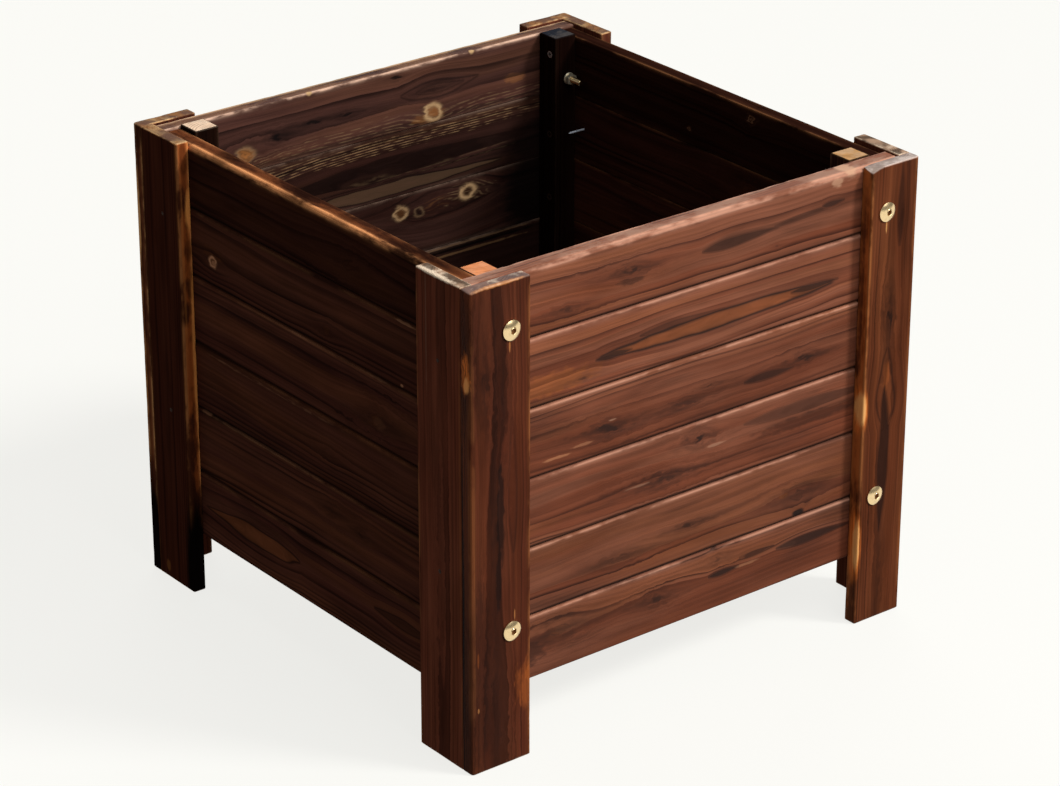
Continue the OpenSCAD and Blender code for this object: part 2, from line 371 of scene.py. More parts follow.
def place_features(g, grain, across, features, quick, fine):
    """Bends the grain round each knot and lens, and gathers their dark, warm and pale areas."""
    masks = {"dark": 0.0, "warm": 0.0, "pale": 0.0}
    ragged = quick * 0.35 + fine * 0.65
    for kind, l, a, half_l, half_a, amounts in features:
        get = amounts.get
        size = dict(l=l * MM, a=a * MM, half_l=half_l * MM, half_a=half_a * MM)
        wobble = ragged if kind == "knot" else fine
        calm = get("calm", 0.0)
        if calm:
            wobble = g.math("MULTIPLY_ADD", wobble, 1.0 - calm, 0.5 * calm)
        if kind == "knot":
            out = figure(g, "knot", grain=grain, across=across, wobble=wobble, **size)
        elif kind == "lens":
            out = figure(
                g, "lens", grain=grain, across=across, wobble=quick, slope=get("slope", 0.0),
                rim=get("rim_w", 1.2) * MM, skew=get("skew", 0.4), **size)
        else:
            out = figure(
                g, "patch", grain=grain, wobble=wobble, d=get("d", 0.0) * MM,
                half_d=get("half_d", FAR) * MM, **size)
        if kind == "dashes":
            out["mask"] = scratches(g, grain, across, out["mask"], l, get("pitch", 3.4) * MM)
        across = out.get("across", across)
        for mask, output, name, default in MARKS["patch" if kind == "dashes" else kind]:
            amount = get(name, default)
            if amount:
                masks[mask] = g.most(masks[mask], out[output] * amount)
    return across, masks


# ---------------- wood and metal

# Colours of one kind of board: early and late growth, warm and pale spots, worn edges that are also a
# painted highlight, end grain
FRONT = dict(
    early=(0.19, 0.053, 0.025), light=(0.265, 0.092, 0.05), late=(0.046, 0.015, 0.01),
    warm=(0.33, 0.098, 0.028), pale=(0.66, 0.38, 0.24), worn_and_highlit=(0.72, 0.36, 0.24),
    rim=(0.36, 0.195, 0.13), end=(0.4, 0.21, 0.13), char_and_shade=(0.028, 0.015, 0.012),
)
BACK = dict(
    early=(0.082, 0.03, 0.022), light=(0.1, 0.042, 0.032), late=(0.016, 0.008, 0.007),
    warm=(0.44, 0.17, 0.05), pale=(0.6, 0.38, 0.19), worn_and_highlit=(0.9, 0.58, 0.42),
    rim=(0.4, 0.19, 0.08), end=(0.4, 0.22, 0.14), char_and_shade=(0.008, 0.006, 0.006),
)
SIDE = dict(
    early=(0.082, 0.025, 0.0165), light=(0.112, 0.037, 0.022), late=(0.022, 0.009, 0.007),
    warm=(0.2, 0.062, 0.022), pale=(0.85, 0.4, 0.21), worn_and_highlit=(0.9, 0.38, 0.15),
    rim=(0.42, 0.12, 0.036), end=(0.3, 0.15, 0.08), char_and_shade=(0.01, 0.006, 0.006),
)
LEG = dict(
    early=(0.1, 0.025, 0.012), light=(0.118, 0.034, 0.016), late=(0.022, 0.008, 0.005),
    warm=(1.0, 0.25, 0.045), pale=(1.0, 0.4, 0.12), worn_and_highlit=(0.4, 0.14, 0.045),
    rim=(0.5, 0.165, 0.04), end=(0.25, 0.15, 0.12), char_and_shade=(0.014, 0.008, 0.007),
    stain=(0.13, 0.09, 0.085), crust=(0.85, 0.68, 0.52),
)
LEG_RIGHT = dict(
    LEG, early=(0.135, 0.036, 0.014), light=(0.18, 0.054, 0.021), end=(0.42, 0.32, 0.27),
    rim=(0.62, 0.18, 0.045), pale=(1.0, 0.5, 0.17), crust=(0.7, 0.59, 0.53),
    stain=(0.26, 0.2, 0.18),
)
LEG_SIDE = dict(
    early=(0.15, 0.039, 0.021), light=(0.185, 0.054, 0.029), late=(0.04, 0.013, 0.009),
    warm=(0.56, 0.2, 0.055), pale=(0.9, 0.72, 0.54), worn_and_highlit=(0.62, 0.27, 0.09),
    rim=(0.42, 0.115, 0.03), end=(0.42, 0.27, 0.18), char_and_shade=(0.012, 0.007, 0.006),
)
LEG_FAR = dict(
    LEG_SIDE, warm=(0.95, 0.34, 0.09), worn_and_highlit=(1.0, 0.5, 0.2), end=(0.3, 0.14, 0.06),
    pale=(1.0, 0.56, 0.24), crust=(0.62, 0.42, 0.22), stain=(0.1, 0.06, 0.055),
)
# A copy of LEG_FAR with brighter warm and pale colours: painted light on the back-left side board's shaded
# edge strip
LEG_LIT = dict(
    LEG_FAR, warm=(1.0, 0.3, 0.06), pale=(1.0, 0.38, 0.095), worn_and_highlit=(0.95, 0.36, 0.11),
    rim=(0.6, 0.14, 0.028),
)
POST = dict(
    early=(0.04, 0.014, 0.009), light=(0.052, 0.02, 0.013), late=(0.012, 0.005, 0.004),
    warm=(0.36, 0.14, 0.045), pale=(0.8, 0.66, 0.52), worn_and_highlit=(0.4, 0.22, 0.13),
    end=(0.5, 0.21, 0.09), char_and_shade=(0.008, 0.005, 0.005),
)
FLOOR_WOOD = dict(
    early=(0.14, 0.065, 0.035), light=(0.19, 0.1, 0.055), late=(0.05, 0.024, 0.015),
    warm=(0.3, 0.12, 0.05), pale=(0.42, 0.27, 0.16), worn_and_highlit=(0.32, 0.18, 0.09),
    end=(0.36, 0.22, 0.13), char_and_shade=(0.025, 0.016, 0.012),
)
# Painted shade: the near-black put into joints, grooves and recesses, and how far it reaches from them
JOINT_SHADE_COLOUR = (0.008, 0.004, 0.003)
WEAR_AND_HIGHLIGHT_REACH = 1.0 * MM
JOINT_SHADE_REACH = 0.9 * MM
CREST_FADE = 24
WOOD_RELIEF = 0.55 * MM
WOOD_ROUGH = 0.44
METAL_RELIEF = 0.08 * MM
# What is stored at each point: how worn and lit up by painted highlight its nearest edge is, how much
# painted shade it takes from a joint or recess, how far off that edge is, the wear and painted highlight
# all along its side, and whether it's on cut end grain
POINT_VALUES = ("edge", "joint_shade", "gap", "run", "cut")


def growth_rings(g, grain, bent, depth, pith, ring, seed):
    """How far each point is into late growth, and a random value for the ring that it's in."""
    da = bent - pith[0] * MM
    dd = depth - pith[1] * MM
    index = g.math("SQRT", da * da + dd * dd) / (ring * MM) + (31.0 + seed)
    part = g.math("FRACT", index)
    number = g.math("FLOOR", index)
    late = g.smooth(part, 0.35, 0.88) * g.smooth(part, 1.0, 0.92)
    fade = g.smooth(g.noise(grain, (7, 50, 50), seed + 3), 0.25, 0.6, 0.35, 1.0)
    late = late * g.smooth(g.random(number), 0.30, 0.95, 0.18, 1.0) * fade
    return late, g.random(number + 0.37)


def cut_end(g, tones, base, late, pitted, crust, stained, stain):
    """Colour of cut end grain, with its crust and its stains."""
    col = g.mix(late * 0.5, base, tones["char_and_shade"])
    col = g.mix(g.smooth(pitted, 0.70, 0.90) * crust, col, tones.get("crust", tones["pale"]))
    return g.mix(g.smooth(stained, 0.62, 0.40, 0.0, stain), col, tones.get("stain", tones["char_and_shade"]))


def wood(name, tones, seed, pith, ring=4.2, features=(), tone=1.0, wear_and_highlight=1.0, wander=7.0,
         patchy=0.5, end=None, shine=0.05, ember=0.15, crest=None, crust=0.5, stain=0.5,
         banding=0.28):
    """Charred, brushed softwood. pith is the middle of the growth rings, as (across, depth) in mm."""
    material, g, shader = new_material(name)
    grain = g.read("grain", "Vector")
    along, across, depth = g.split(grain)
    edge, joint_shade_amount, gap, run, cut = [g.read(label) for label in POINT_VALUES]

    slow = g.noise(grain, (4.5, 14, 14), seed, 1.0)
    quick = g.noise(grain, (22, 70, 70), seed + 1, 1.0)
    fine = g.noise(grain, (90, 220, 220), seed + 2, 3.0)
    mild = g.noise(grain, (14, 60, 60), seed + 9)
    swayed = across + ((slow - 0.5) * (2 * wander * MM) + (quick - 0.5) * (2.2 * MM))
    bent, masks = place_features(g, grain, swayed, features, quick, fine)
    dark = masks["dark"]
    late, band = growth_rings(g, grain, bent, depth, pith, ring, seed)

    # Streaks of fibre, and slow changes of tone
    curved = g.run("CombineXYZ", (along, bent, depth))
    streak = g.noise(curved, (3.5, 300, 300), seed + 4, 3.0, 0.6)
    fibre = g.noise(curved, (30, 1500, 1500), seed + 5, 2.0, 0.6)
    broad = g.noise(grain, (5, 24, 24), seed + 6, 3.0, 0.55)
    blotch = g.smooth(broad + band * banding, 0.42, 0.86)
    if crest:
        blotch = g.most(blotch, g.smooth(swayed, (crest - CREST_FADE) * MM, crest * MM))
    col = g.mix(blotch, tones["early"], tones["light"])
    charred = g.smooth(g.noise(grain, (5, 40, 18), seed + 7, 4.0, 0.6), 0.50, 0.75)
    col = g.mix(charred * patchy, col, tones["char_and_shade"])
    glow = g.noise(curved, (3, 45, 45), seed + 8) + band * 0.2
    warm = g.most(g.smooth(glow, 0.58, 0.84) * ember, masks["warm"])
    col = g.mix(warm, col, tones["warm"])
    col = g.mix(late * 0.85, col, tones["late"])
    # Dark figure takes the char colour; on some boards the dark patches are painted shadow
    col = g.mix(dark, col, tones["char_and_shade"])
    shade = g.smooth(streak, 0.28, 0.72, 0.80, 1.16) + fibre * 0.30
    shade = shade + g.smooth(mild, 0.30, 0.70, -0.10, 0.10)
    col = g.scale(col, (shade - 0.15) * tone)

    # Cut ends, worn sides and edges brightened as painted highlight, pale spots, and painted shade in the
    # joints
    end_base = end or tones["end"]
    end_col = cut_end(g, tones, end_base, late, fine * 0.5 + mild, crust, quick, stain)
    col = g.mix(cut, col, end_col)
    # Worn sides and edges: real wear on the charred wood, made brighter as a painted highlight where edges
    # catch the light
    broken = g.smooth(fine * 0.45 + mild, 0.58, 0.84, 0.06, 1.05) * (1.0 - dark)
    rubbed_and_highlit = g.math("MULTIPLY", run * broken, wear_and_highlight, clamp=True)
    col = g.mix(rubbed_and_highlit, col, tones.get("rim", tones["worn_and_highlit"]))
    close = g.math("EXPONENT", gap / -WEAR_AND_HIGHLIGHT_REACH)
    worn_and_highlit = g.math("MULTIPLY", edge * close * broken, wear_and_highlight, clamp=True)
    worn_and_highlit_col = g.mix(cut, tones["worn_and_highlit"], tones.get("crust", tones["pale"]))
    col = g.mix(worn_and_highlit, col, worn_and_highlit_col)
    col = g.mix(masks["pale"], col, tones["pale"])
    # Painted shade in the joints, under the bevels and round the post tops
    col = g.mix(joint_shade_amount * g.math("EXPONENT", gap / -JOINT_SHADE_REACH), col, JOINT_SHADE_COLOUR)
    g.plug(col, shader["Base Color"])

    # Relief: brushing leaves the late growth standing
    relief = streak * 0.9 + fibre * 0.5 + late * 0.5 - dark * 0.35 + fine * 0.35
    g.plug(g.bump(relief, 0.55, WOOD_RELIEF), shader["Normal"])
    g.plug(streak * 0.25 + worn_and_highlit * 0.15 + WOOD_ROUGH, shader["Roughness"])
    g.plug(shine, shader["Specular IOR Level"])
    return material


def metal(name, colour, rough, seed, spots=0.35, metallic=1.0, gloss=0.5):
    """Plated steel with faint stains and wear."""
    material, g, shader = new_material(name)
    where = g.run("TexCoord", out="Object")
    cloud = g.noise(where, (260, 260, 260), seed, 3.0, 0.6)
    grit = g.noise(where, (1500, 1500, 1500), seed + 1)
    stained = tuple(0.45 * c for c in colour)
    g.plug(g.mix(g.smooth(cloud, 0.45, 0.75) * spots, colour, stained), shader["Base Color"])
    g.plug(cloud * 0.25 + (rough - 0.1), shader["Roughness"])
    g.plug(metallic, shader["Metallic"])
    g.plug(gloss, shader["Specular IOR Level"])
    g.plug(g.bump(grit, 0.25, METAL_RELIEF), shader["Normal"])
    return material


# ---------------- meshes

AXES = {"x": 0, "y": 1, "z": 2}
WOOD_CREASE = 50.0
METAL_CREASE = 38.0
ARC_STEPS = 3
SMALL_ARC = 0.45 * MM
SUPPORT = 0.5 * MM
CUT_EDGE = 1.3 * MM
CUT_FROM = 0.1
NICKED_FROM = 0.35
# Wear with painted highlight, and painted shade, round the cut ends of a part
WORN_AND_HIGHLIT_CAP = (0.9, 0.0)
SHADED_CAP = (0.0, 0.9)


def ring_faces(count, size, first=0, closed=False):
    """The faces between count rings of size points each, one ring after another."""
    faces = []
    for row in range(count if closed else count - 1):
        low, high = first + row * size, first + (row + 1) % count * size
        for k in range(size):
            after = (k + 1) % size
            faces.append((low + k, low + after, high + after, high + k))
    return faces


def tube_faces(count, size):
    """The sides and the two flat ends of a tube of count rings."""
    last = (count - 1) * size
    return ring_faces(count, size) + [tuple(range(size)), tuple(range(last, last + size))]


def new_mesh(name, points, faces, crease, slots=()):
    """A mesh with outward normals, smooth but for corners sharper than crease degrees."""
    mesh = bpy.data.meshes.new(name)
    mesh.from_pydata(points, [], faces)
    if slots:
        mesh.polygons.foreach_set("material_index", slots)
    work = bmesh.new()
    work.from_mesh(mesh)
    bmesh.ops.recalc_face_normals(work, faces=work.faces)
    work.to_mesh(mesh)
    work.free()
    mesh.shade_smooth()
    mesh.set_sharp_from_angle(angle=math.radians(crease))
    return mesh


def finish_piece(name, mesh, slot, *materials):
    """Puts a finished mesh in the scene, in place of the CAD node of that name."""
    for material in materials:
        mesh.materials.append(material)
    piece = put(name + "_skin", mesh)
    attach(piece, BODY)
    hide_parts(name)


def store(mesh, grains, values):
    """Stores the grain coordinates and the POINT_VALUES that the wood material reads."""
    grain = mesh.attributes.new("grain", "FLOAT_VECTOR", "POINT")
    grain.data.foreach_set("vector", [c for triple in grains for c in triple])
    for label, column in zip(POINT_VALUES, zip(*values)):
        mesh.attributes.new(label, "FLOAT", "POINT").data.foreach_set("value", column)


class Bar:
    """Local frame of a long part: l along it, a across it, d deep from its outer face."""

    def __init__(self, node, long, wide, outer):
        self.node = node
        lo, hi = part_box(node)
        self.long, self.wide, self.deep = AXES[long], AXES[wide], AXES[outer[1]]
        self.sign = -1.0 if outer[0] == "+" else 1.0
        self.face = hi[self.deep] if outer[0] == "+" else lo[self.deep]
        self.l0, self.l1 = lo[self.long], hi[self.long]
        self.a0, self.a1 = lo[self.wide], hi[self.wide]
        self.middle = (self.a0 + self.a1) / 2 / MM
        self.thick = hi[self.deep] - lo[self.deep]

    def world(self, l, a, d):
        point = Vector((0.0, 0.0, 0.0))
        point[self.long] = l
        point[self.wide] = a
        point[self.deep] = self.face + self.sign * d
        return point

    def grain(self, point):
        return (point[self.long], point[self.wide], (point[self.deep] - self.face) * self.sign)


def outline(corners, step):
    """Closed outline from (a, d, radius, wear, painted joint shade, run) corners.

    Each row is a point, the wear with painted highlight and the painted shade of the nearest corner,
    how far off that corner is, and run, the wear with painted highlight all along a side.
    """
    flat = []
    for k, (a, d, radius, wear_and_highlight, joint_shade, run) in enumerate(corners):
        here = Vector((a, d))
        back = Vector(corners[k - 1][:2]) - here
        ahead = Vector(corners[(k + 1) % len(corners)][:2]) - here
        radius = min(radius, 0.49 * back.length, 0.49 * ahead.length)
        p, q = here + back.normalized() * radius, here + ahead.normalized() * radius
        steps = ARC_STEPS if radius > SMALL_ARC else 1
        for s in range(steps + 1):
            t = s / steps
            side = run if s == steps else 0.0
            flat.append((p * (1 - t) ** 2 + here * 2 * t * (1 - t) + q * t * t, wear_and_highlight, joint_shade, side))
    rows = []
    for k, (p, *start) in enumerate(flat):
        q, *end = flat[(k + 1) % len(flat)]
        length = (q - p).length
        ts = [0.0]
        if length > 3 * SUPPORT:
            inner = length - 2 * SUPPORT
            parts = max(1, math.ceil(inner / step))
            ts += [(SUPPORT + inner * n / parts) / length for n in range(parts + 1)]
        for t in ts:
            wear_and_highlight, joint_shade, _ = start if t < 0.5 else end
            rows.append((p + (q - p) * t, wear_and_highlight, joint_shade, length * min(t, 1 - t), start[2]))
    return rows


def shrink(shape, inset):
    """The outline's points, drawn in towards the middle so that its sides move by inset."""
    xs, ys = [p.x for p, *_ in shape], [p.y for p, *_ in shape]
    middle = Vector(((min(xs) + max(xs)) / 2, (min(ys) + max(ys)) / 2))
    sx = 1 - 2 * inset / (max(xs) - min(xs))
    sy = 1 - 2 * inset / (max(ys) - min(ys))
    return [
        Vector((middle.x + (p.x - middle.x) * sx, middle.y + (p.y - middle.y) * sy))
        for p, *_ in shape]


def stations(l0, l1, step, r):
    """(l, inset, cut) rows along a bar: flat capped ends with a small rounding r."""
    start = [(l0, 4 * r, 1.0), (l0, 1.8 * r, 1.0), (l0 + 0.12 * r, r, 1.0),
             (l0 + 0.45 * r, 0.35 * r, 0.8), (l0 + r, 0.0, 0.2), (l0 + 1.6 * r, 0.0, 0.0)]
    finish = [(l0 + l1 - l, inset, cut) for l, inset, cut in reversed(start)]
    first, last = l0 + 4 * r, l1 - 4 * r
    count = max(1, math.ceil((last - first) / step))
    middle = [(first + (last - first) * k / count, 0.0, 0.0) for k in range(count + 1)]
    return start + middle + finish


def sweep(bar, shape, rows, cap):
    """Points and their POINT_VALUES, for an outline swept along a bar."""
    points, values = [], []
    for l, inset, cut in rows:
        for q, (_, wear_and_highlight, joint_shade, gap, run) in zip(shrink(shape, inset), shape):
            points.append(bar.world(l, q.x, q.y))
            if cut < CUT_FROM:
                values.append((wear_and_highlight, joint_shade, gap, run, cut))
            else:
                values.append((*cap, 0.0 if inset < CUT_EDGE else 1.0, 0.0, cut))
    return points, values


def roughen(point, bar, seed, edge):
    """How far one point sits below the true surface, in metres."""
    l, a, d = bar.grain(point)
    slow = noise.noise(Vector((l * 9 + seed * 3.1, a * 40, d * 40)))
    nick = noise.noise(Vector((l * 90 + seed * 7.7, a * 60, d * 60 + seed)))
    low = 0.12 + 0.12 * slow
    if edge > NICKED_FROM:
        low += min(edge, 1.0) * max(0.0, nick - 0.25) * 1.2
    return low * MM


def wooden(bar, corners, material, slot, seed, step=8.0, rounding=0.7, dents=(), across=7.0,
           cap=WORN_AND_HIGHLIT_CAP):
    """One wooden part: outline swept along the bar, roughened, with dents pressed in."""
    shape = outline([(a, d, r * MM, *rest) for a, d, r, *rest in corners], across * MM)
    rows = stations(bar.l0, bar.l1, step * MM, rounding * MM)
    points, values = sweep(bar, shape, rows, cap)
    mesh = new_mesh(bar.node, points, tube_faces(len(rows), len(shape)), WOOD_CREASE)
    normals = [v.normal.copy() for v in mesh.vertices]
    for vertex, normal, (edge, _, gap, *_) in zip(mesh.vertices, normals, values):
        vertex.co -= normal * roughen(vertex.co, bar, seed, edge if gap < SUPPORT else 0.0)
        for at, reach, push in dents:
            near = (vertex.co - Vector(at) * MM).length / (reach * MM)
            if near < 1.0:
                vertex.co += Vector(push) * MM * (1 - near * near) ** 2
    store(mesh, [bar.grain(p) for p in points], values)
    finish_piece(bar.node, mesh, slot, material)


# ---------------- walls

TONGUE_H = 6 * MM
TONGUE = (6.7 * MM, 12.3 * MM)
GROOVE_H = 6.6 * MM
GROOVE = (6.5 * MM, 12.5 * MM)
BEVEL_H = 2.6 * MM
BEVEL_D = 3.0 * MM
UNDER_BEVEL = 1.1 * MM
WALL_RING = 2.6
CREST_BELOW = 6


def board_corners(bar, is_top, is_bottom, rim, crest):
    """Cross-section of a tongue-and-groove board, as (a, d, radius, wear with painted highlight, painted
    joint shade, run) corners.
    """
    low, high, thick = bar.a0, bar.a1 - (0 if is_top else TONGUE_H), bar.thick
    under = 0.2 if is_bottom else 1.0
    corners = [(low + UNDER_BEVEL, 0, 0.6, 0, 0.8 * under, 0), (low, UNDER_BEVEL, 0.4, 0, under, 0)]
    if not is_bottom:
        corners += [
            (low, GROOVE[0], 0.3, 0, 1, 0), (low + GROOVE_H, GROOVE[0], 0.4, 0, 1, 0),
            (low + GROOVE_H, GROOVE[1], 0.4, 0, 1, 0), (low, GROOVE[1], 0.3, 0, 1, 0)]
    corners += [(low, thick, 0.8, 0.1, 0.5, 0)]
    if is_top:
        inner, outer, bevel, top, slope = rim
        return corners + [
            (high, thick, 1.2, inner, 0, top), (high, BEVEL_D, 0.9, outer, 0, slope),
            (high - BEVEL_H, 0, 1.0, bevel, 0, 0)]
    return corners + [
        (high, thick, 0.5, 0.3, 0.5, 0), (high, TONGUE[1], 0.3, 0, 1, 0),
        (high + TONGUE_H, TONGUE[1], 0.8, 0, 1, 0), (high + TONGUE_H, TONGUE[0], 0.8, 0, 1, 0),
        (high, TONGUE[0], 0.3, 0, 1, 0), (high, BEVEL_D, 0.4, 0, 1, 0),
        (high - BEVEL_H, 0, 0.5, *crest, 0)]


# A feature is its kind, its middle and half sizes along and across the grain, and its amounts


def knot(*place, **amounts):
    return ("knot", *place, amounts)


def patch(*place, **amounts):
    return ("patch", *place, amounts)


def dashes(*place, **amounts):
    return ("dashes", *place, amounts)


def lens(l0, l1, a, half_a, **amounts):
    return ("lens", (l0 + l1) / 2, a, (l1 - l0) / 2, half_a, amounts)


# For each board, counted from the rim: tone, pith (mm above the board's middle, depth), and figure.
# Positions along and across are in the row's frame, in mm.
FRONT_BOARDS = [
    dict(tone=0.98, pith=(-4, 42), features=[
        lens(8, 100, 416, 4.6, fill=0.75, rim=0.5, slope=0.02, skew=0.6),
        lens(90, 172, 420, 1.8, fill=0.6, rim=0.5, slope=0.05),
        lens(146, 174, 423, 2.6, fill=0.8, rim=0.5),
        knot(-66, 418, 14, 5, core=0.85, halo=0.85), patch(-70, 409, 16, 4, dark=0.6),
        knot(-140, 402, 11, 4, core=0.7, halo=0.7), knot(95, 399, 3, 1.5, core=0.4, halo=0.3),
        patch(164, 441, 8, 5, pale=0.55, warm=0.4), patch(181, 450, 9, 8, pale=0.8)]),
    dict(tone=1.04, pith=(-8, 36), features=[
        lens(-106, 168, 348, 7.5, fill=0.0, rim=0.9, rim_w=1.6, warm=0.45, skew=0.2),
        lens(-108, -66, 346.5, 3.4, fill=0.85, rim=0.5), lens(112, 171, 349.5, 3.0, fill=0.85, rim=0.5),
        lens(-60, 40, 356, 3, fill=0.4, rim=0.5), patch(-160, 338, 60, 12, warm=0.6),
        knot(-122, 334, 7, 2.5, core=0.6, halo=0.5)]),
    dict(tone=0.90, pith=(-14, 46), patchy=0.7, features=[
        knot(-95, 280, 15, 6, core=0.9, halo=0.95), patch(-88, 286, 6, 1.2, pale=0.3),
        knot(-6, 278, 13, 4, core=0.7, halo=0.8), knot(22, 287, 9, 2.5, core=0.6, halo=0.6),
        lens(60, 122, 278, 3.5, fill=0.75, rim=0.5), knot(132, 283, 12, 5, core=0.85, halo=0.9),
        patch(-150, 268, 18, 1.6, pale=0.2, warm=0.8), patch(-120, 272, 14, 1.5, pale=0.15, warm=0.5)]),
    dict(tone=0.95, pith=(6, 40), patchy=0.75, features=[
        knot(11, 239, 12, 7, core=0.95, halo=0.9), knot(-29, 212, 18, 6, core=0.8, halo=0.95),
        patch(30, 228, 14, 1.6, pale=0.28), patch(-58, 214, 14, 1.4, pale=0.2),
        lens(60, 225, 236, 5, fill=0.55, rim=0.5, slope=-0.02), patch(140, 222, 70, 7, dark=0.45)]),
    dict(tone=0.76, pith=(10, 55), patchy=0.6, features=[
        knot(130, 148, 15, 8, core=0.3, halo=0.8, rings=0.8, calm=0.4), patch(112, 152, 6, 3, warm=0.5),
        knot(-78, 150, 18, 6, core=0.3, halo=0.7, rings=0.7, calm=0.4),
        knot(2, 158, 13, 3, core=0.8, halo=0.8), patch(131, 130.5, 9, 4.5, dark=1.0, calm=0.4)]),
    dict(tone=0.85, pith=(-18, 40), features=[
        lens(104, 196, 101, 4, fill=0.85, rim=0.7), lens(24, 62, 99, 2.6, fill=0.9, rim=0.6),
        lens(60, 104, 106, 2, fill=0.5, rim=0.5), patch(70, 98, 16, 1.6, warm=0.6, pale=0.15),
        knot(-146, 103, 15, 10, core=0.5, warm=0.3, halo=0.9, rings=0.8, calm=0.4),
        knot(-35, 96, 10, 6, core=0.8, halo=0.8), knot(36, 112, 6, 4, core=0.6, halo=0.6),
        patch(-185, 92, 28, 16, dark=0.6)]),
]
# Back boards 2 to 4 have low tones, lowest on the fourth, and boards 2 and 3 have large dark patches at
# their right ends: painted shade cast by the front and right walls on the inner face
BACK_BOARDS = [
    dict(tone=0.92, pith=(4, -26), patchy=0.15, features=[
        knot(65, 397, 10, 8.5, warm=0.75, ring=0.8, rings=0.3, halo=0.3, calm=0.6),
        patch(48, 391, 12, 2.4, warm=0.7),
        knot(-115, 413, 11, 5, core=0.95, halo=0.8, calm=0.3),
        knot(-73, 418, 11, 3, core=0.9, halo=0.8), knot(-34, 417, 12, 3, core=0.9, halo=0.8),
        knot(22, 441, 6, 3, core=0.9, halo=0.5),
        lens(26, 122, 420, 8, rim=0.5), lens(44, 104, 420, 4, rim=0.4),
        knot(66, 419, 9, 3, core=0.5, halo=0.6), patch(-152, 400, 10, 7, warm=0.5),
        knot(-150, 404, 10, 7, warm=1.0, ring=0.25, halo=0.3, calm=0.5), patch(165, 410, 16, 6, warm=0.3),
        patch(62, 392, 22, 7, warm=0.35), patch(0, 449, 400, 6, pale=0.5, d=4.5, half_d=2.5, calm=0.4),
        patch(-77, 449, 4, 5, pale=1.0, d=18, half_d=4, calm=0.7),
        patch(112, 449, 4, 5, pale=1.0, d=18, half_d=4, calm=0.7),
        dashes(30, 394, 260, 9, pale=0.18, pitch=2.8), patch(0, 390, 300, 3, dark=0.5)]),
    dict(tone=0.42, pith=(2, -20), patchy=0.6, features=[
        lens(-85, 153, 331, 6.5, rim=0.6, pale=0.07), lens(-120, 200, 352, 9, fill=0.6, rim=0.6),
        dashes(0, 376, 260, 8, pale=0.34, warm=0.3, pitch=2.8), dashes(30, 380, 90, 3, warm=0.5, pitch=2.2),
        dashes(60, 344, 130, 5, pale=0.06, pitch=5), patch(200, 340, 60, 30, dark=0.7, calm=0.7)]),
    dict(tone=0.40, pith=(-6, -24), patchy=0.6, features=[
        knot(25, 303, 8, 7, warm=0.6, ring=0.5, core=0.4, halo=0.4, calm=0.5),
        knot(47, 299, 6, 5, ring=0.12, core=0.6, halo=0.4, calm=0.5),
        knot(106, 306, 10, 7.5, ring=0.65, core=0.6, halo=0.3, warm=0.3, calm=0.6),
        lens(20, 150, 303, 13, rim=0.5), dashes(105, 305, 34, 12, pale=0.16, pitch=2.6),
        dashes(70, 303, 20, 8, warm=0.35, pitch=2.8), patch(195, 290, 60, 60, dark=0.9, calm=0.7)]),
    dict(tone=0.24, pith=(3, -30), features=[
        patch(105, 254.5, 95, 1.3, pale=0.12, warm=0.25), patch(110, 250, 95, 1.6, dark=0.8),
        patch(105, 245.5, 80, 1.6, pale=0.12, warm=0.4)]),
    dict(tone=0.7, pith=(-9, -22), features=[knot(-60, 160, 10, 7, core=0.6)]),
    dict(tone=0.7, pith=(5, -34), features=[knot(90, 100, 10, 7, core=0.6)]),
]
LEFT_BOARDS = [
    dict(tone=0.42, pith=(-12, 40), features=[
        knot(-65, 410, 16, 7, halo=0.3, warm=0.15), patch(132, 449, 22, 8, dark=0.55),
        patch(20, 449, 26, 8, dark=0.55), patch(-50, 449, 16, 8, dark=0.45),
        patch(-160, 449, 60, 8, dark=0.55, calm=0.3)]),
    dict(tone=0.80, pith=(8, 60), features=[
        knot(146, 344, 6, 5, warm=1.0, ring=0.6, halo=0.4, calm=0.5), patch(144, 342, 5, 4, pale=0.35),
        patch(146, 352, 22, 8, warm=0.4), knot(-30, 338, 5, 4, warm=0.35, halo=0.4),
        patch(-143, 383, 15, 1.4, pale=0.30, calm=0.3), patch(-138, 324, 2.4, 1.8, pale=0.4, calm=0.5)]),
    dict(tone=0.95, pith=(-6, 44), features=[
        knot(-102, 279, 13, 9, warm=0.4, halo=0.4), patch(-104, 276, 10, 7, pale=0.03, warm=0.25, calm=0.4),
        patch(16, 318, 17, 1.3, pale=0.18, calm=0.3), patch(-104, 318, 15, 1.2, pale=0.14, calm=0.3),
        patch(-20, 318, 110, 1.2, pale=0.06)]),
    dict(tone=0.82, pith=(12, 50), features=[
        knot(-28, 218, 7, 4, warm=0.3, halo=0.4), dashes(60, 249, 120, 1.5, pale=0.10, pitch=20)]),
    dict(tone=0.88, pith=(-8, 46), features=[
        knot(-28, 164, 7, 5, halo=0.5, warm=0.2), knot(-77, 159, 7, 5, core=0.5, halo=0.5),
        patch(70, 187.5, 120, 1.4, pale=0.12, calm=0.3), patch(166, 188, 10, 1.6, pale=0.26, calm=0.3)]),
    dict(tone=0.95, pith=(2, 34), features=[
        lens(20, 175, 91, 9, fill=0.0, rim=0.7, warm=0.6), lens(-170, -90, 94, 5, fill=0.5, rim=0.7)]),
]
